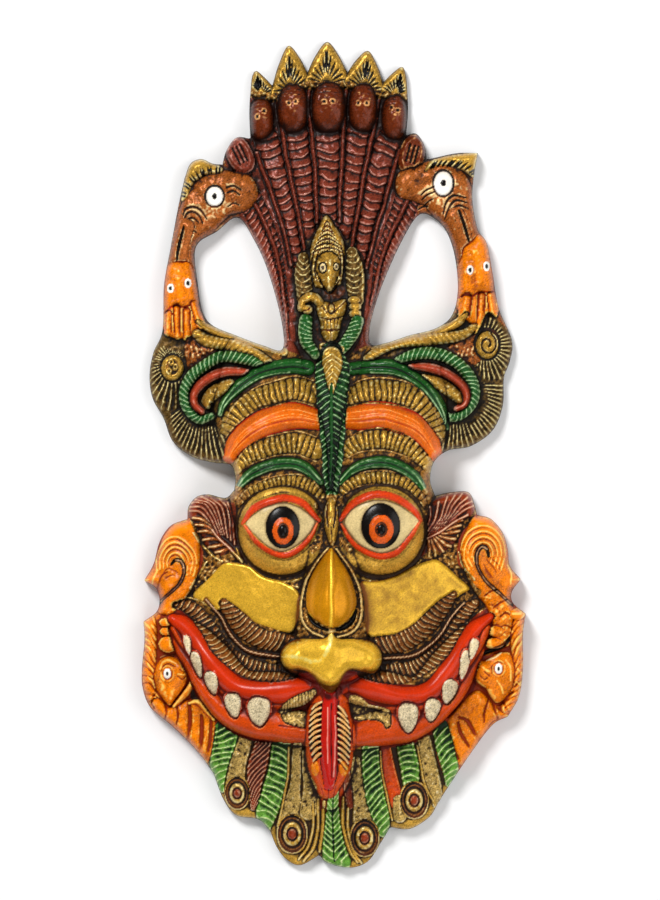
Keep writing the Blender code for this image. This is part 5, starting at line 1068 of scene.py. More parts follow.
def ears(relief):
    """The leaf-shaped ears: fine ridges swept off the top, short ones off the lower edge."""
    for around, area, upper, lower, rib in (
        ([(-146, -50), (-134, -37), (-96, -31), (-82, -45), (-88, -75), (-82, -111), (-118, -121),
          (-130, -137), (-138, -145), (-134, -117), (-131, -97), (-144, -65)],
         [(-146, -59), (-142, -45), (-134, -41), (-127, -40.5), (-119, -43), (-106, -46), (-99, -49),
          (-97, -65), (-95, -80), (-90, -95), (-88, -107), (-98, -106), (-109, -104), (-119, -97),
          (-129, -90), (-134, -80), (-141, -68)],
         ([(-144, -56, 2), (-134, -57, 3), (-126, -66, 3), (-116, -83, 2)],
          [(-144, -48, 2), (-131, -48, 3), (-122, -59, 3), (-112, -79, 2)],
          [(-133, -42, 2), (-121, -48, 3), (-115, -59, 3), (-109, -79, 2)],
          [(-114, -45, 2), (-107, -52, 3), (-104, -63, 3), (-103, -85, 2)],
          [(-99, -51, 2), (-98, -62, 3), (-97, -73, 3), (-96, -93, 2)]),
         ([(-141, -63, 2), (-133, -64, 3.4), (-127, -68, 3.4), (-121, -76, 2)],
          [(-137, -76, 2), (-129, -75, 3.6), (-122, -77, 3.4), (-115, -82, 2)],
          [(-125, -92, 2), (-118, -91, 3.6), (-112, -90, 3.4), (-107, -90, 2)],
          [(-111, -103, 2), (-106, -101, 3.4), (-103, -98, 3), (-100, -96, 2)]),
         [(-122, -74, 3), (-112, -86, 4), (-104, -94, 4), (-92, -106, 3)]),
        ([(144, -50), (131, -33), (96, -31), (82, -45), (90, -75), (84, -111), (112, -117), (124, -131),
          (132, -137), (127, -119), (123, -105), (123, -91), (128, -77), (136, -67)],
         [(97, -48), (104, -42), (116, -38), (126, -36.5), (136, -36.5), (138, -45), (140, -55),
          (135, -62), (129, -66), (124, -76), (121, -87), (113, -94), (105, -100), (96, -104), (87, -103),
          (84, -93), (87, -80), (93, -65)],
         ([(96, -51, 2), (96, -59, 3), (94, -67, 3), (88, -77, 2)],
          [(113, -41, 2), (109, -53, 3), (105, -65, 3), (93, -80, 2)],
          [(127, -39, 2), (118, -50, 3), (113, -61, 3), (99, -78, 2)],
          [(138, -46, 2), (128, -51, 3), (120, -60, 3), (106, -75, 2)],
          [(139, -56, 2), (131, -59, 3), (122, -64, 3), (112, -72, 2)]),
         ([(128, -65, 2), (121, -67, 3.4), (114, -71, 3.4), (107, -76, 2)],
          [(125, -76, 2), (118, -77, 3.6), (111, -78, 3.4), (104, -78, 2)],
          [(116, -91, 2), (111, -89, 3.6), (106, -85, 3.4), (101, -81, 2)],
          [(101, -101, 2), (100, -94, 3.6), (97, -87, 3.4), (96, -83, 2)],
          [(88, -101, 2), (90, -94, 3), (91, -89, 3), (91, -85, 2)]),
         [(133, -60, 2.6), (121, -66, 3.6), (109, -74, 4), (98, -80, 4), (87, -85, 3)]),
    ):
        relief.wash(around, "dark_brass", 0.15)
        relief.patch(area, 1.4, "ear_red", edge=5)
        for ends, finish in ((upper, "ear_red"), (lower, "copper")):
            for first, last in zip(ends, ends[1:]):
                for share in (0, 0.5):
                    ridge = (1 - share) * np.array(first) + share * np.array(last)
                    relief.band(ridge * (1, 1, 1.5), 2.2, finish, sink=-0.3, fullness=0.8)
                    # A painted highlight along each ridge
                    relief.brush(ridge * (1, 1, 0.45), 0.7)
        relief.band(rib, 2.2, "ear_red", sink=-1)
        # A painted highlight along the midrib
        relief.brush([(x, y, 1.4) for x, y, _ in rib], 0.9)


def mouth(relief):
    """Lips that meet at a seam, the teeth over it, and the tongue that hangs over the lower lip."""
    for rows in (
        [(-162, -175, 9), (-152, -197, 13), (-142, -213, 16), (-128, -233, 22), (-110, -252, 28),
         (-88, -262, 40), (-58, -266, 40), (-28, -274, 26)],
        [(153, -173, 8), (142, -201, 11), (130, -227, 16), (116, -245, 20), (100, -257, 26),
         (78, -267, 38), (52, -270, 40), (20, -278, 24)],
    ):
        relief.band(rows, 3.4, "lip_orange", sink=0.4)
        # Painted shade along the lower lip's lower edge
        relief.brush([(row[0], row[1] - 0.42 * row[2], 0.3 * row[2]) for row in rows[3:]], -0.3)
    # The right lower lip brushed darker
    relief.brush([(18, -275, 20), (52, -275, 24), (78, -267, 24)], -0.4)
    for gum in (
        [(-53, -256), (-40, -254), (-27, -255), (-27, -271), (-41, -269), (-50, -265)],
        [(15, -239), (26, -240), (34, -247), (46, -250), (56, -254), (57, -267), (52, -272), (46, -265),
         (34, -263), (24, -264), (17, -259)],
    ):
        relief.patch(gum, 2.0, "gritty_gold", edge=4, sink=-0.4, grain=0.12)
    for rows in (
        [(-161, -164, 12), (-146, -172, 18), (-132, -193, 22), (-118, -213, 22), (-98, -229, 20),
         (-76, -234, 21), (-54, -233, 27), (-34, -227, 24), (-18, -227, 22), (-6, -237, 12)],
        [(156, -161, 9), (138, -175, 17), (125, -197, 20), (113, -216, 21), (96, -234, 20),
         (70, -239, 20), (44, -234, 23), (24, -226, 24), (11, -226, 22), (-1, -237, 12)],
    ):
        relief.band(rows, 3.6, "lip_red", sink=0.4)
        # Painted highlight lines along each upper lip, and painted shade along its top and bottom edges
        for share, light in ((0.12, 0.5), (-0.08, 0.3), (0.42, -0.35), (-0.44, -0.35)):
            width = 1.8 if light > 0 else 6
            relief.brush([(x, y + share * w, width) for x, y, w in rows[1:-1]], light)
    relief.band([(-52, -254, 6), (-42, -247, 12), (-31, -241, 12), (-21, -234, 7)], 1.6, "gritty_gold",
                sink=-0.8, moat=1.6, rib=1.2, pitch=3.4, slant=3)
    # The gum strip brushed lighter
    relief.brush([(-52, -253, 8), (-38, -245, 12), (-20, -235, 10)], 0.3)
    relief.cut([(-54, -268, 2), (-44, -269, 2.4), (-30, -271, 2)], 1.0, "vermilion")
    # Painted shade where the upper lips meet under the nose
    relief.brush([(-44, -217, 8), (-28, -217, 10), (-18, -227, 10), (-8, -239, 10)], -1.1)
    relief.brush([(26, -217, 8), (16, -217, 9), (10, -225, 9), (3, -237, 9)], -1.1)
    for centre, radii, turn in (
        ((-146, -189), (3.6, 10), 12),
        ((-136.5, -209), (5, 13.4), 14),
        ((-122, -227), (6.6, 12), 12),
        ((-100.5, -249), (8.4, 12.4), 8),
        ((-75, -255), (11.6, 14.4), 0),
        ((73, -261), (10.4, 14.8), 0),
        ((97, -253.5), (8.0, 11.6), -10),
        ((114, -235.5), (8.0, 12.4), -14),
        ((129, -209), (5, 14.8), -10),
        ((138, -193), (4.6, 10.8), -14),
    ):
        c, s = math.cos(math.radians(turn)), math.sin(math.radians(turn))
        for size, rise, sink, finish in ((1.14, 0.3, -2.6, "lip_red"), (1.0, 2.6, -2.8, "ivory")):
            drop = []
            for u, v in (
                (-0.95, 0.45), (-0.5, 0.98), (0.25, 1.0), (0.85, 0.8), (1.0, 0.2), (0.65, -0.6),
                (0.1, -1.0), (-0.6, -0.6),
            ):
                u, v = size * u * radii[0], size * v * radii[1]
                drop.append((centre[0] + c * u - s * v, centre[1] + s * u + c * v))
            relief.patch(drop, rise, finish, edge=4, sink=sink, level=1, grain=0.06)
    # Tongue: two glossy ribs down the middle, slanting leaf cuts down each side, lobes at the tip
    relief.band([(-4, -235, 22), (-4, -247, 38), (-5, -265, 47), (-5, -285, 47), (-5, -302, 46),
                 (-6, -313, 41), (-6.5, -323, 32), (-7, -331, 22)], 3.6, "lip_orange", sink=-0.4,
                fullness=0.4)
    relief.band([(-4, -237, 14), (-4, -247, 18), (-5, -265, 21), (-5, -285, 21), (-5, -302, 19),
                 (-5, -317, 16), (-6, -329, 10)], 2.4, "tongue_red", sink=-1.8, fullness=0.3)
    for side, count, first, gap, drop in ((-1, 10, 699, 5.7, 8), (1, 10, 703, 5.9, 11)):
        for k in range(count):
            y = 455 - first - gap * k
            reach = 20.5 - 0.16 * (k - 4) ** 2
            leaf_rows = [(-4.5 + side * (8.6 + (reach - 8.6) * at),
                          y - drop * at + 1.5 * math.sin(3 * at), w)
                         for at, w in ((0, 1.6), (0.5, 3), (1, 1.4))]
            relief.cut([(x, v - 2.6, 2.6) for x, v, _ in leaf_rows], 1.2, "umber")
            relief.band(leaf_rows, 1.0, "cream", sink=-3.9)
    relief.band([(-5, -233, 12), (-5, -265, 15), (-5, -295, 14), (-4, -315, 11), (-4, -326, 7)], 1.0,
                "tongue_red", sink=-4.0, fullness=0.3)
    relief.cut([(-3, -245, 1.6), (-3, -285, 1.8), (-2.5, -321, 1.4)], 1.2)
    # Painted highlights along both ribs of the tongue, which are also raised a little
    relief.brush([(-6.5, -249, 1.4), (-6.5, -285, 2), (-6.5, -305, 1.6)], 0.9, 0.4)
    relief.brush([(1.5, -257, 1.2), (1, -285, 1.8), (-1, -319, 1.6)], 0.8, 0.4)
    for lobe, radii in (((-19, -311), (4, 8)), ((9.5, -311), (4.4, 8))):
        relief.oval(lobe, radii, 1.2, "orange")
    for notch in (
        [(-13, -331, 2), (-11, -339, 2)],
        [(-6, -332, 2), (-6, -341, 2)],
        [(1, -329, 2), (-1, -338, 2)],
    ):
        relief.cut(notch, 1.0, "vermilion")


def beard(relief):
    """Feathers that hang from the lower lip, four of them ending in a ringed eye."""
    ringed = ((-97, -338), 0.88), ((-42, -379), 1.06), ((30.5, -383), 1.02), ((80, -345), 1.0)
    for rows, finish, rib, slant in (
        ([(-107, -273, 24), (-111, -293, 22), (-115, -310, 19), (-115, -325, 12), (-112, -335, 5)],
         "leaf_green", -1.3, -5),
        ([(-89, -281, 14), (-94, -301, 16), (-98, -321, 19), (-98, -335, 22)], "gritty_gold", 0, 0),
        ([(-71, -287, 17), (-76, -307, 19), (-79, -325, 16), (-80, -343, 10), (-82, -353, 5)], "ear_red",
         -1.3, -14),
        ([(-53, -287, 18), (-56, -313, 20), (-61, -337, 22), (-68, -357, 22), (-70, -373, 12)],
         "leaf_green", -1.3, 3),
        ([(-37, -289, 9), (-38, -315, 10), (-40, -335, 12), (-42, -351, 22), (-43, -365, 27)],
         "gritty_gold", 0, 0),
        ([(-29, -295, 6), (-26, -320, 12), (-23, -335, 18), (-26, -357, 18)], "gritty_gold", 0, 0),
        ([(12, -317, 7), (14, -335, 8), (16, -351, 6)], "ear_red", 0, 0),
        ([(21, -305, 9), (23, -325, 12), (27, -345, 16), (30, -363, 24)], "gritty_gold", 0, 0),
        ([(36, -293, 17), (37, -315, 19), (40, -337, 20), (46, -359, 19), (49, -377, 12)], "leaf_green",
         -1.3, -6),
        ([(51, -293, 11), (54, -313, 13), (59, -333, 14), (63, -349, 12)], "lip_orange", 0, 0),
        ([(64, -345, 10), (66, -361, 14)], "gritty_gold", 0, 0),
        ([(71, -290, 18), (75, -309, 19), (77, -327, 17)], "leaf_green", -1.3, 0),
        ([(90, -285, 13), (95, -309, 16), (100, -331, 14), (103, -349, 10)], "gritty_gold", 0, 0),
        ([(106, -273, 18), (112, -295, 18), (116, -313, 16), (115, -329, 8)], "leaf_green", -1.3, -5),
    ):
        relief.band(rows, 2.4, finish, sink=0.2, moat=1.4, rib=1.2 * rib, pitch=6.6, slant=slant,
                    bow=-1.6, fullness=0.35, grain=0.0 if rib else 0.12, edging=0.6)
    relief.band([(-1, -335, 10), (-1, -365, 14), (-1, -387, 22), (2, -407, 28)], 2.4, "leaf_green",
                sink=0.2, moat=1.4, rib=-1.6, pitch=6, vee=9, fullness=0.35, edging=0.6)
    relief.cut([(-1, -341, 1.6), (-1, -375, 2), (0, -407, 2)], 1.2, "green")
    # Fibres that run down beside the eyes, and the lobes' rims
    for rows in (
        [(-21, -345, 2), (-21, -371, 2.6), (-26, -391, 2.6), (-36, -405, 2)],
        [(-16, -343, 2.6), (-16, -373, 3), (-21, -393, 3), (-31, -407, 2.6)],
        [(-10, -345, 3), (-11, -373, 3.6), (-15, -397, 3)],
        [(9, -341, 3), (9, -371, 3.4), (15, -395, 3.4), (23, -408, 2.6)],
        [(14, -353, 2.4), (14, -375, 3), (19, -397, 3), (27, -409, 2.4)],
        [(-46, -289, 2), (-46, -315, 2.4), (-51, -345, 2.4), (-57, -371, 2)],
        [(46, -295, 2), (48, -321, 2.4), (54, -345, 2.4), (58, -365, 2)],
        [(83, -290, 2), (87, -313, 2.4), (93, -335, 2.4), (102, -351, 2)],
    ):
        relief.band(rows, 1.6, "old_gold", sink=-0.4, moat=1)
    for centre, size in ringed:
        relief.oval(centre, (14.5 * size, 19 * size), 2.4, "old_gold", lift=1.0, power=2.3)
        relief.ring(centre, (11 * size, 14.6 * size), 5.6 * size, -1.4, "umber")
        relief.ring(centre, (11.4 * size, 15 * size), 1.2, 0.5, "chestnut")
        relief.oval(centre, (8.4 * size, 11.4 * size), 1.2, "pale_gold")
        rim = [(centre[0] + 6.6 * size * math.cos(t), centre[1] + 9 * size * math.sin(t), 3.4)
               for t in np.linspace(0, 2 * math.pi, 13)]
        # The inner oval's rim brushed lighter
        relief.brush(rim, 0.7)
        relief.ring(centre, (4.8 * size, 6 * size), 2.2, -0.8, "umber")
        relief.oval(centre, (4 * size, 5 * size), 1.2, "ear_red")


def side_beasts(relief):
    """The curled scrolls beside the cheeks and the couched beasts under them."""
    for scroll, neck, slit, hollow, reaches, turns in (
        ([(-146, -63), (-159, -68), (-171, -82), (-176, -97), (-182, -112), (-191, -125), (-185, -133),
          (-177, -134), (-174, -147), (-176, -157), (-164, -159), (-153, -149), (-144, -136),
          (-137, -121), (-134, -105), (-134, -90), (-137, -73)],
         [(-144, -105), (-134, -105), (-137, -121), (-144, -136), (-153, -149), (-164, -159),
          (-170, -155), (-161, -143), (-150, -129)],
         [(-162, -109, 3), (-158, -104.5, 4.6), (-153, -105, 5.4), (-149.5, -111, 5.4), (-150, -119, 5),
          (-155, -129, 5), (-163, -137, 4.6), (-172, -145, 4), (-178, -152, 3)], (-158, -108),
         ((8.4, 11), (12.6, 16.5), (16.4, 21), (20, 26)), (3.4, -0.5)),
        ([(139, -62), (150, -61), (163, -66), (171, -78), (174.5, -93), (176, -107), (187, -124.5),
          (179, -135), (177, -147), (180, -157), (178, -173), (174, -191), (160, -185), (158, -167),
          (152, -151), (142, -139), (134, -125), (129, -111), (126, -96), (128, -83), (133, -72)],
         [(125, -96), (134, -93), (138, -105), (140, -119), (150, -133), (162, -145), (175, -157),
          (174, -191), (160, -185), (158, -167), (152, -151), (142, -139), (134, -125), (129, -111)],
         [(154, -101, 3), (152.5, -94, 5), (147.5, -91, 6), (143, -96, 6), (142, -104, 5.6),
          (144, -114, 5), (151, -125, 5), (160, -134, 5), (169, -142, 4.6), (178, -150, 4)], (148, -99),
         ((10, 12.5), (14.4, 18), (18.4, 23.5), (22.4, 29)), (3.9, -0.6)),
    ):
        relief.patch(scroll, 6.0, "orange", edge=13, sink=-0.4)
        relief.wash(neck, None, 0.2)
        # Painted shade along the slit, and a painted highlight line inside it
        relief.brush([(x, y, w + 7) for x, y, w in slit[3:]], -0.7)
        relief.cut(slit, 2.0, "umber")
        relief.brush([(x, y, 2.2) for x, y, _ in slit[1:]], 2.2, 0.9)
        for across, up in reaches:
            arc = []
            for turn in np.linspace(*turns, 9):
                arc.append((hollow[0] + across * math.cos(turn), hollow[1] + up * math.sin(turn), 1.9))
            # Each arc raised a little and given a painted highlight, with a groove below it
            relief.brush(arc, 1.3, 0.5)
            relief.cut([(x, y - 2.4, 1.8) for x, y, _ in arc[1:-1]], 0.7)
    # Left scroll's jaw and beak
    relief.cut([(-177, -134, 2), (-175, -127, 3), (-172, -120, 2.6), (-166, -116, 2)], 1.0)
    # Painted shade under the jaw, painted light on it, and a painted highlight line on the beak
    relief.brush([(-177, -137, 6), (-173, -128, 9), (-167, -122, 7)], -0.8)
    relief.brush([(-170, -145, 6), (-162, -135, 7), (-154, -125, 6)], -0.7)
    relief.brush([(-167, -130, 7), (-161, -123, 8)], 0.7)
    relief.brush([(-176, -114, 1.8), (-180, -121, 2.6), (-182, -128, 2)], 1.6, 0.5)
    for fold in (
        [(-170, -117, 1.4), (-166, -113, 2), (-161, -114, 1.6), (-156, -117, 1.4)],
        [(-168, -123, 1.2), (-164, -120, 1.6), (-159, -120, 1.2)],
    ):
        relief.cut(fold, 0.7)
    # Right scroll's jaw, its folds, and the blocks of its neck
    # Painted shade along the jaw, and a painted highlight line on the beak
    relief.brush([(151, -115, 7), (158, -125, 8), (168, -133, 8), (178, -135, 6)], -1.0)
    relief.brush([(174, -110, 1.8), (177, -119, 2.6), (176, -129, 2)], 1.6, 0.5)
    for fold in (
        [(152, -104, 1.4), (158, -110, 2), (162, -117, 1.4)],
        [(156, -102, 1.4), (163, -108, 2), (167, -116, 1.4)],
        [(149, -108, 1.2), (153, -116, 1.8), (158, -122, 1.2)],
    ):
        relief.cut(fold, 0.6)
    for joint in (
        [(151, -141, 2), (157, -136, 2.6), (163, -135, 2)],
        [(159, -152, 2), (166, -147, 3), (173, -144, 2)],
        [(165, -161, 2), (171, -157, 3), (177, -160, 2)],
        [(165, -173, 2), (171, -170, 3), (177, -173, 2)],
    ):
        relief.cut(joint, 1.4)
        # A painted highlight on each block
        relief.brush([(x + 1, y - 4, 4) for x, y, _ in joint], 1.0)
    for lobe, radii in (
        ((162, -176), (8, 5.4)),
        ((160, -188), (10, 5.2)),
        ((-169, -167), (5.6, 4)),
        ((-168, -176), (6, 4)),
        ((-166, -189), (9.4, 8)),
    ):
        relief.oval(lobe, radii, 2.4, "orange", lift=4.4)
        side = -0.45 if lobe[0] > 0 else 0.45
        # A painted highlight on each lobe
        relief.brush([(lobe[0] + side * radii[0], lobe[1] + v, radii[1])
                      for v in (-0.3 * radii[1], 0.3 * radii[1])], 1.5)
    relief.cut([(146, -199, 5), (156, -195, 6), (168, -190, 6), (177, -181, 4)], 2.4, "umber")
    # Manes down the outer edges, their locks curved
    relief.band([(-185, -165, 13), (-184, -185, 15), (-185, -210, 15), (-183, -235, 15),
                 (-176, -251, 12)], 4.2, "orange", sink=-0.4, rib=2.2, pitch=8, bow=-5, slant=8)
    relief.band([(184, -167, 12), (183, -185, 16), (185, -210, 14), (182, -235, 16), (172, -253, 12)],
                4.2, "orange", sink=-0.4, rib=2.2, pitch=9, bow=-5, slant=-9)
    relief.oval((183, -159), (8, 5.6), 2.4, "orange", lift=3.6)
    # Locks raised a little and given painted highlights
    for lock in (
        [(-189, -169, 3), (-182, -172, 5)],
        [(-189, -177, 2), (-183, -179, 3), (-178, -185, 2)],
        [(-188, -184, 2), (-182, -187, 3), (-178, -194, 2)],
        [(-188, -191, 2), (-182, -195, 3), (-178, -206, 3)],
        [(187, -179, 3), (181, -186, 4), (174, -197, 4)],
        [(188, -187, 2), (182, -195, 3), (179, -201, 2)],
        [(181, -226, 2), (187, -232, 2)],
        [(178, -158, 3), (186, -158, 4)],
        [(-186, -209, 1.6), (-182, -214, 2), (-179, -221, 1.6)],
        [(-187, -221, 1.6), (-182, -226, 2), (-179, -232, 1.6)],
        [(183, -213, 1.6), (187, -218, 2)],
    ):
        relief.brush(lock, 1.6, 0.3)
    # Haunches with their grooves, and the tufts in front
    for haunch, grooves in (
        ([(-158, -249), (-144, -244), (-128, -248), (-117, -261), (-119, -280), (-124, -302),
          (-130, -309), (-144, -290), (-160, -273), (-176, -261), (-184, -249), (-177, -242),
          (-166, -251)],
         ([(-144, -247, 4), (-144, -265, 6), (-146, -283, 5)],
          [(-132, -260, 4), (-132, -277, 6), (-134, -295, 5)],
          [(-122, -260, 4), (-124, -283, 5), (-128, -303, 5)],
          [(-169, -249, 3), (-168, -257, 4), (-170, -265, 3)],
          [(-180, -239, 3), (-183, -247, 3), (-180, -253, 2)],
          [(-157, -251, 2.4), (-156, -261, 3), (-158, -269, 2)])),
        ([(142, -235), (152, -241), (160, -251), (168, -257), (174, -261), (158, -267), (148, -283),
          (136, -301), (126, -311), (118, -295), (110, -272), (114, -258), (126, -246)],
         ([(125, -262, 3), (133, -266, 5), (140, -277, 6), (148, -287, 5)],
          [(124, -267, 3), (127, -279, 5), (135, -291, 4)],
          [(159, -250, 3), (163, -262, 4)],
          [(169, -247, 3), (173, -256, 3)],
          [(154, -244, 2.4), (150, -257, 3), (150, -267, 2)],
          [(110, -271, 4), (116, -287, 4), (124, -303, 4)])),
    ):
        relief.patch(haunch, 4.0, "orange", edge=9, sink=0, grain=0.05)
        for groove in grooves:
            relief.cut(groove, 1.7)
            # Painted shade along each groove
            relief.brush([(x, y, w + 3) for x, y, w in groove], -0.5)
    # Painted highlights on the haunches
    for light in (
        [(-151, -253, 7), (-152, -269, 8)],
        [(-138, -255, 6), (-139, -281, 7)],
        [(-127, -267, 5), (-129, -291, 5)],
        [(118, -263, 7), (120, -283, 8)],
        [(144, -241, 6), (146, -257, 6)],
    ):
        relief.brush(light, 0.6)
    relief.patch([(-143, -236), (-137, -233), (-131, -242), (-135, -247), (-143, -244)], 0.6, "copper",
                 edge=2, sink=0.4)
    for strip in (
        [(-141, -225, 3), (-146, -236, 6), (-153, -244, 6), (-160, -251, 4)],
        [(-144, -248, 3), (-136, -246, 5), (-128, -254, 6), (-120, -263, 4)],
    ):
        relief.band(strip, 2.6, "orange", sink=-2.2)
        # A painted highlight along each strip
        relief.brush(strip, 0.8)
    # Beasts' heads: lid, brow, eye, the curl of the snout, and their painted highlights and shade
    for head, rim, lid, place, creases, lights, shades in (
        ([(-164, -201), (-153, -205), (-147, -213), (-146, -224), (-151, -235), (-158, -244),
          (-164.5, -251), (-172, -243), (-178, -235), (-181, -223), (-179, -212), (-173, -204)],
         [(-147, -212, 3), (-146, -224, 3.4), (-151, -236, 3.6), (-158, -245, 3.6), (-165, -252, 3.4),
          (-173, -244, 3), (-179, -235, 2.4)],
         [(-173, -203, 1.8), (-166, -200.5, 2.8), (-156, -201, 2)], (-166.5, -218),
         ([(-173, -216, 1.4), (-170, -210.5, 2), (-165, -208.5, 2), (-159, -211, 1.4)],
          [(-156, -220.5, 1.4), (-151, -224, 2), (-148, -221, 1.4)],
          [(-154, -214, 2), (-150, -217, 2.4)]),
         ([(-174, -214, 2), (-171, -207.5, 3), (-165, -205, 3), (-158, -208, 2)],
          [(-156, -218, 1.4), (-150, -219.5, 1.8)],
          [(-173, -221, 6), (-172, -232, 8), (-168, -241, 5)],
          [(-161, -235, 8), (-163, -243, 5)]),
         ([(-152, -207, 6), (-147, -217, 6)], [(-154, -229, 6), (-150, -225, 6)])),
        ([(152, -205), (163, -198), (175, -198), (181, -212), (180, -228), (174, -240), (163, -248),
          (155, -241), (150, -233), (142, -227), (141, -214), (145, -206)],
         [(141, -210, 3), (140, -221, 3.6), (144, -229, 3.2), (151, -234, 2.8), (155, -242, 3.2),
          (163, -249, 3.6), (174, -242, 3.6), (182, -229, 2.6)],
         [(152, -205, 2), (160, -202, 2.8), (166, -197, 2)], (164, -213),
         ([(158, -217, 1.4), (158, -210, 2), (163, -206, 2), (170, -208, 1.4)],
          [(146, -220, 1.6), (150, -224, 2.4), (153, -222, 1.6)],
          [(150, -216, 1.4), (155, -220, 1.8)]),
         ([(149, -212, 3), (155, -216, 4)],
          [(163, -225, 2), (167, -231, 3), (169, -238, 2)],
          [(171, -204, 2), (176, -212, 3), (176, -225, 2)],
          [(143, -225, 1.4), (147, -229, 1.8), (151, -232, 1.4)],
          [(156, -235, 6), (160, -242, 5)]),
         ([(144, -209, 5), (146, -217, 5)], [(174, -235, 6), (178, -225, 6)])),
    ):
        relief.patch(head, 6.0, "orange", edge=15, sink=-1)
        relief.cut(rim, 1.6)
        relief.cut(lid, -1.2, "cream")
        for crease in creases:
            relief.cut(crease, 1.1)
        for light in lights:
            relief.brush(light, 1.3, 0.3)
        for shade in shades:
            relief.brush(shade, -0.7)
        relief.ring(place, (6.4, 7.6), 1.8, 0.7)
        relief.oval(place, (3.8, 5.2), 1.4, "chalk")
        relief.oval(place, (1.3, 2.2), 0.4, "black")


def finish_edge(relief, outer, gaps):
    """Depth inside the casting at every place, and the front rounded down to the edge's thickness."""
    part, depth = relief.depth_in(outer, DEEPEST_IN)
    inside = np.full(relief.z.shape, -MARGIN)
    inside[part] = depth
    for gap in gaps:
        part, depth = relief.depth_in(gap, DEEPEST_IN)
        inside[part] = np.minimum(inside[part], -depth)
        around, x, y = relief.window(gap, DEEPEST_IN)
        for a, b in zip(gap, np.roll(gap, -1, 0)):
            near = np.hypot(x - 0.5 * (a + b)[0], y - 0.5 * (a + b)[1])
            inside[around] = np.where(inside[around] > 0,
                                      np.minimum(inside[around], near), inside[around])
    rounding = np.sqrt(1 - (1 - np.clip(inside / ROUND_OVER, 0, 1)) ** 2)
    relief.z = LIP + np.maximum(relief.z - LIP, 0) * rounding
    return inside


def hollow_behind(relief, inside):
    """The back's height: flat on the rim, then up inside, one wall under the softened front."""
    lowest = np.minimum(relief.z, relief.ground)
    for _ in range(round(LOWEST_FIRST * SMOOTHED_BEHIND / PITCH)):
        for axis in (0, 1):
            beside = np.minimum(np.roll(lowest, 1, axis), np.roll(lowest, -1, axis))
            lowest = np.minimum(lowest, beside)
    under = softened(lowest, SMOOTHED_BEHIND) - WALL
    slope = (inside - RIM) * LEAN_BEHIND
    well_in = (slope > 2) * (under > 2)
    return np.clip(np.minimum(under, slope), 0, None) + ROUGH_BEHIND * relief.mottle * well_in


def to_linear(colour):
    """Light values of a colour given as it is seen on a screen, 0 to 255."""
    colour = np.array(colour, float) / 255
    return np.where(colour < 0.04045, colour / 12.92, ((colour + 0.055) / 1.055) ** 2.4)


def paint(relief, inside):
    """Each place's colour, share of bare brass and roughness: wash in the creases and painted shade in
    the hollows between forms and near the edge, wear and painted highlights on top.
    """
    base, rubbed_or_lit, crease = (to_linear([FINISHES[n][k] for n in NAMES])[relief.finish] for k in range(3))
    bare, rough, tooth = (relief.finished(k) for k in (BARE, ROUGH, TOOTH))
    # The finest hollows hold the dark wash; the wide and broad ones carry painted shade
    fine, middle, wide, broad = (softened(relief.z, reach) - relief.z for reach in (0.8, 2.4, 6.4, 14.4))
    # Painted shade that deepens towards the casting's edge
    near_edge = np.exp(-np.clip(inside, 0, None) / 4)
    # Painted shade: hollows between big forms, near the edge and brushed dark; brushed light lifts it
    shade = wide / 2.6 + broad / 9 + 0.35 * near_edge + 0.10 * relief.mottle - relief.tone
    # Share of the crease colour: the wash in the fine creases plus the painted shade
    dark = fine / 0.24 + middle / 0.80 + 0.7 * shade + 0.08 * relief.grain - 0.06
    dark = np.clip(dark, 0, 1)[..., None]
    # Crests of ridges, where wear shows the brass and painted highlights and glints lie
    crest = -fine / (softened(np.abs(fine), 2.4) + 0.1) - 0.75
    wear_and_highlight = 1.7 * crest + 0.10 * relief.grain + relief.tone
    wear_and_highlight = np.clip(wear_and_highlight, 0, 1)[..., None] * 0.8
    # Base colour darkened by painted shade, lightened by painted light, with random flecks
    colour = base * np.clip(1 - 0.3 * shade + (0.07 + 2.8 * tooth) * relief.fleck, 0.3, 1.6)[..., None]
    colour = colour + (rubbed_or_lit - colour) * wear_and_highlight
    colour = colour + (crease - colour) * dark
    return np.clip(colour, 0, 1), bare * (1 - dark[..., 0]), rough + 0.2 * dark[..., 0]


def piece_map(relief, inside):
    """The piece that each square of the back's lattice belongs to, or -1 outside the casting."""
    owner = np.zeros(relief.z.shape, int)
    for k, (_, rows) in enumerate(PIECES.values()):
        part, depth = relief.depth_in(curve(rows, closed=True), 2.0)
        owner[part] = np.where(depth > 0, k, owner[part])
    owner = np.where(inside > 0, owner, -1)[1::2, 1::2]
    # No two squares of one piece, or of the outside, touch only at a corner
    enough = 12
    for _ in range(enough):
        for here, right, up, over in (
            (np.s_[:-1, :-1], np.s_[:-1, 1:], np.s_[1:, :-1], np.s_[1:, 1:]),
            (np.s_[:-1, 1:], np.s_[:-1, :-1], np.s_[1:, 1:], np.s_[1:, :-1]),
        ):
            lone = owner[here] == owner[over]
            lone &= (owner[here] != owner[right]) & (owner[here] != owner[up])
            owner[right] = np.where(lone, owner[here], owner[right])
    return owner


def sampled(field, relief, x, y):
    """The field's value at places between the lattice's own, all short of its last row and column."""
    short_of_last = 1.001
    u = np.clip((x - relief.x[0]) / PITCH, 0, len(relief.x) - short_of_last)
    v = np.clip((y - relief.y[0]) / PITCH, 0, len(relief.y) - short_of_last)
    i, j = u.astype(int), v.astype(int)
    u, v = u - i, v - j
    if field.ndim == 3:
        u, v = u[:, None], v[:, None]
    low = field[j, i] * (1 - u) + field[j, i + 1] * u
    high = field[j + 1, i] * (1 - u) + field[j + 1, i + 1] * u
    return low * (1 - v) + high * v


def to_edge(point, start, run):
    """The place on the silhouette's edges nearest a point."""
    share = ((point - start) * run).sum(1) / (run * run).sum(1)
    near = start + np.clip(share, 0, 1)[:, None] * run
    return near[np.argmin(((near - point) ** 2).sum(1))]


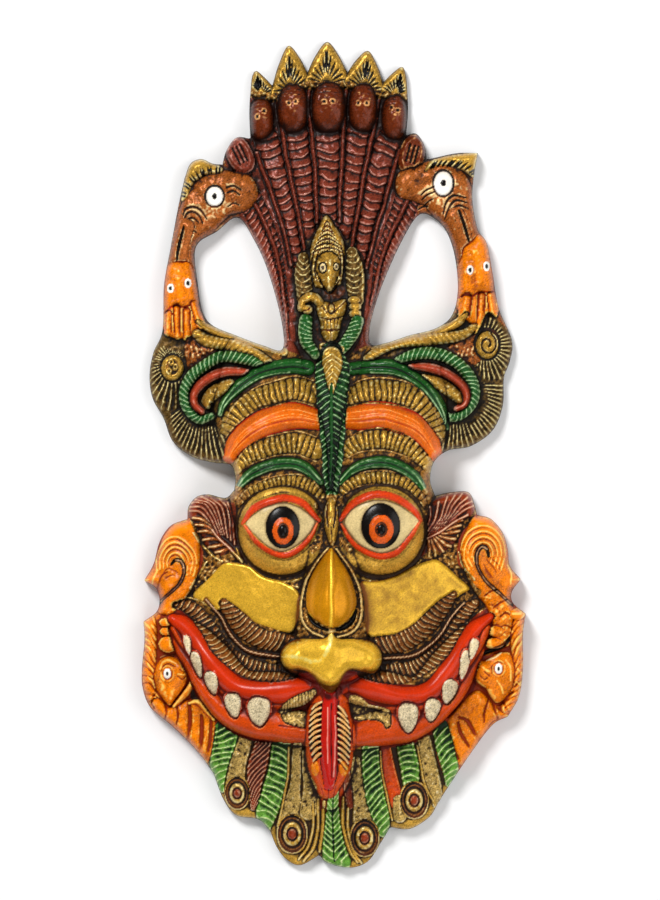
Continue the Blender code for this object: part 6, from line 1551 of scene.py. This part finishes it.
def shell(relief, owner, number, name, loops):
    """One piece as a flat closed slab, its front at height 1 with twice as many squares as its back."""
    rows, columns = np.nonzero(owner == number)
    foot, left = rows.min(), columns.min()
    tall, wide = rows.max() + 1 - foot, columns.max() + 1 - left
    bm = bmesh.new()
    bmesh.ops.create_grid(bm, x_segments=wide, y_segments=tall, size=0.5)
    spare = []
    for square in bm.faces:
        middle = square.calc_center_median()
        column = left + int((middle.x + 0.5) * wide)
        row = foot + int((middle.y + 0.5) * tall)
        if owner[row, column] != number:
            spare.append(square)
    bmesh.ops.delete(bm, geom=spare, context="FACES")
    start = np.vstack([loop[:, :2] for loop in loops])
    run = np.vstack([np.roll(loop[:, :2], -1, 0) - loop[:, :2] for loop in loops])
    framed = np.pad(owner, 1, constant_values=-1)
    for vert in bm.verts:
        column = round((vert.co.x + 0.5) * wide) + left
        row = round((vert.co.y + 0.5) * tall) + foot
        place = np.array([relief.x[2 * column], relief.y[2 * row]])
        if vert.is_boundary and framed[row:row + 2, column:column + 2].min() < 0:
            place = to_edge(place, start, run)
        vert.co.x, vert.co.y = place
    bmesh.ops.dissolve_degenerate(bm, dist=SHORTEST_SIDE, edges=bm.edges)
    back = bm.faces[:]
    made = bmesh.ops.extrude_face_region(bm, geom=back, use_keep_orig=True)["geom"]
    front = [part for part in made if isinstance(part, bmesh.types.BMFace)]
    raised = [part for part in made if isinstance(part, bmesh.types.BMVert)]
    bmesh.ops.translate(bm, vec=(0, 0, 1), verts=raised)
    for facet in back:
        facet.material_index = 1
    bmesh.ops.recalc_face_normals(bm, faces=bm.faces)
    edges = {edge for facet in front for edge in facet.edges}
    for edge in {edge for facet in front + back for edge in facet.edges}:
        edge.smooth = not any(abs(facet.normal.z) < 0.5 for facet in edge.link_faces)
    bmesh.ops.subdivide_edges(bm, edges=list(edges), cuts=1, use_grid_fill=True)
    for facet in bm.faces:
        facet.smooth = True
    mesh = bpy.data.meshes.new(name)
    bm.to_mesh(mesh)
    bm.free()
    return mesh


def carve(mesh, relief, back, looks, centre, scale, up):
    """Sets a slab to the carving's heights, in metres, and gives it its paint, with the painted shade and
    highlights in it.
    """
    count = len(mesh.vertices)
    co = np.empty(3 * count)
    mesh.vertices.foreach_get("co", co)
    co = co.reshape(-1, 3)
    x, y, front = co[:, 0].copy(), co[:, 1].copy(), co[:, 2] > 0.5
    height = np.where(front, sampled(relief.z, relief, x, y), sampled(back, relief, x, y))
    co[:, 0], co[:, 1], co[:, 2] = (x - centre[0]) * scale, (y - centre[1]) * scale, height * up
    mesh.vertices.foreach_set("co", co.ravel())
    colour, bare, rough = looks
    tint = np.c_[sampled(colour, relief, x, y), np.ones(count)]
    # The paint colour holds the wash, the painted shade and the painted highlights
    mesh.attributes.new("paint", "FLOAT_COLOR", "POINT").data.foreach_set("color", tint.ravel())
    mesh.attributes.new("bare", "FLOAT", "POINT").data.foreach_set("value", sampled(bare, relief, x, y))
    mesh.attributes.new("rough", "FLOAT", "POINT").data.foreach_set("value", sampled(rough, relief, x, y))
    mesh.update()


def node(tree, kind, **inputs):
    """A new node with some of its inputs set; an input given as an output is linked."""
    made = tree.nodes.new(kind)
    for name, value in inputs.items():
        socket = made.inputs[name.replace("_", " ")]
        if isinstance(value, bpy.types.NodeSocket):
            tree.links.new(value, socket)
        else:
            socket.default_value = value
    return made


def attribute(tree, name):
    made = tree.nodes.new("ShaderNodeAttribute")
    made.attribute_name = name
    return made


def painted_relief():
    """Enamel over brass: colour with its painted shade and highlights, bare metal and polish from the
    carving, broken up by brush and wear.
    """
    material = bpy.data.materials.new("enamelled_brass")
    material.use_nodes = True
    tree = material.node_tree
    shader = tree.nodes["Principled BSDF"]
    shader.inputs["Specular IOR Level"].default_value = 0.18
    place = tree.nodes.new("ShaderNodeTexCoord").outputs["Object"]
    cloud = node(tree, "ShaderNodeTexNoise", Vector=place, Scale=90.0, Detail=6.0, Roughness=0.6)
    speck = node(tree, "ShaderNodeTexNoise", Vector=place, Scale=900.0, Detail=4.0, Roughness=0.7)
    dull = node(tree, "ShaderNodeMapRange", Value=cloud.outputs["Fac"], From_Min=0.35, From_Max=0.7,
                To_Min=0.86, To_Max=1.14)
    tint = node(tree, "ShaderNodeVectorMath", Vector=attribute(tree, "paint").outputs["Color"])
    tint.operation = "SCALE"
    tree.links.new(dull.outputs["Result"], tint.inputs["Scale"])
    tree.links.new(tint.outputs["Vector"], shader.inputs["Base Color"])
    tree.links.new(attribute(tree, "bare").outputs["Fac"], shader.inputs["Metallic"])
    grit = node(tree, "ShaderNodeMapRange", Value=speck.outputs["Fac"], From_Min=0.3, From_Max=0.7,
                To_Min=-0.06, To_Max=0.1)
    rough = tree.nodes.new("ShaderNodeMath")
    rough.operation = "ADD"
    tree.links.new(attribute(tree, "rough").outputs["Fac"], rough.inputs[0])
    tree.links.new(grit.outputs["Result"], rough.inputs[1])
    tree.links.new(rough.outputs["Value"], shader.inputs["Roughness"])
    bump = node(tree, "ShaderNodeBump", Height=speck.outputs["Fac"], Strength=0.2, Distance=0.0001)
    tree.links.new(bump.outputs["Normal"], shader.inputs["Normal"])
    return material


def raw_casting():
    """The hollow back: brass as it left the mould, brown and pitted."""
    material = bpy.data.materials.new("raw_casting")
    material.use_nodes = True
    tree = material.node_tree
    shader = tree.nodes["Principled BSDF"]
    place = tree.nodes.new("ShaderNodeTexCoord").outputs["Object"]
    cloud = node(tree, "ShaderNodeTexNoise", Vector=place, Scale=40.0, Detail=8.0, Roughness=0.65)
    pits = node(tree, "ShaderNodeTexNoise", Vector=place, Scale=600.0, Detail=3.0, Roughness=0.6)
    ramp = tree.nodes.new("ShaderNodeValToRGB")
    tree.links.new(cloud.outputs["Fac"], ramp.inputs["Fac"])
    ramp.color_ramp.elements[0].position = 0.3
    ramp.color_ramp.elements[0].color = (*to_linear((62, 44, 26)), 1)
    ramp.color_ramp.elements[1].position = 0.7
    ramp.color_ramp.elements[1].color = (*to_linear((168, 132, 70)), 1)
    tree.links.new(ramp.outputs["Color"], shader.inputs["Base Color"])
    shader.inputs["Metallic"].default_value = 0.8
    rough = node(tree, "ShaderNodeMapRange", Value=pits.outputs["Fac"], To_Min=0.45, To_Max=0.75)
    tree.links.new(rough.outputs["Result"], shader.inputs["Roughness"])
    bump = node(tree, "ShaderNodeBump", Height=pits.outputs["Fac"], Strength=0.5, Distance=0.0005)
    tree.links.new(bump.outputs["Normal"], shader.inputs["Normal"])
    return material


def sculpt():
    """The whole front, laid on from the hood down."""
    outer, *gaps = silhouette()
    relief = Relief(outer.min(0), outer.max(0))
    lay_ground(relief)
    hood(relief)
    handles(relief)
    wings(relief)
    brow(relief)
    little_figure(relief)
    side_beasts(relief)
    ears(relief)
    beard(relief)
    mouth(relief)
    face(relief)
    return relief, outer, gaps


def mask_pieces():
    """The mask's pieces, set to fill the solid's box."""
    relief, outer, gaps = sculpt()
    relief.z += relief.finished(TOOTH) * (relief.grain + 2 * relief.dents)
    relief.z = 0.5 * (relief.z + softened(relief.z, PITCH))
    inside = finish_edge(relief, outer, gaps)
    back = hollow_behind(relief, inside)
    looks = paint(relief, inside)
    owner = piece_map(relief, inside)
    low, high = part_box("mask")
    size = outer.max(0) - outer.min(0)
    centre = 0.5 * (outer.min(0) + outer.max(0))
    scale = min((high.x - low.x) / size[0], (high.y - low.y) / size[1]) * FILLS_ACROSS
    up = min(MILLIMETRE, FILLS_UP * high.z / relief.z.max())
    finishes = painted_relief(), raw_casting()
    for number, name in enumerate(PIECES):
        mesh = shell(relief, owner, number, name, [outer, *gaps])
        carve(mesh, relief, back, looks, centre, scale, up)
        for finish in finishes:
            mesh.materials.append(finish)
        piece = bpy.data.objects.new(name, mesh)
        bpy.context.scene.collection.objects.link(piece)
        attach(piece, "root")
        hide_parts("mask")


def studio():
    """A pale floor, a key lamp at the upper left with two broad soft ones, and the camera above."""
    bm = bmesh.new()
    bmesh.ops.create_grid(bm, x_segments=1, y_segments=1, size=3)
    mesh = bpy.data.meshes.new("floor")
    bm.to_mesh(mesh)
    bm.free()
    material = bpy.data.materials.new("pale_floor")
    material.use_nodes = True
    shader = material.node_tree.nodes["Principled BSDF"]
    shader.inputs["Base Color"].default_value = (0.92, 0.92, 0.92, 1)
    shader.inputs["Roughness"].default_value = 0.9
    mesh.materials.append(material)
    floor = bpy.data.objects.new("floor", mesh)
    bpy.context.scene.collection.objects.link(floor)

    world = bpy.data.worlds.new("studio")
    world.use_nodes = True
    world.node_tree.nodes["Background"].inputs["Color"].default_value = (1, 1, 1, 1)
    world.node_tree.nodes["Background"].inputs["Strength"].default_value = 0.2
    bpy.context.scene.world = world
    for name, place, size, power in (
        ("key", (-0.7, 1.1, 1.5), 0.6, 32.0),
        ("fill", (1.3, 0.1, 1.3), 1.6, 14.0),
        ("front", (0.1, -1.4, 1.3), 1.6, 10.0),
    ):
        lamp = bpy.data.lights.new(name, "AREA")
        lamp.shape = "DISK"
        lamp.size = size
        lamp.energy = power
        light = bpy.data.objects.new(name, lamp)
        light.location = place
        light.rotation_euler = (-light.location).to_track_quat("-Z", "Y").to_euler()
        bpy.context.scene.collection.objects.link(light)

    camera = bpy.data.objects.new("camera", bpy.data.cameras.new("camera"))
    camera.data.sensor_width = 36.0
    camera.data.lens = 240.0
    camera.location = (-0.001875, 0.002375, 3.005)
    bpy.context.scene.collection.objects.link(camera)
    bpy.context.scene.camera = camera
    bpy.context.scene.view_settings.view_transform = "Standard"


mask_pieces()
studio()
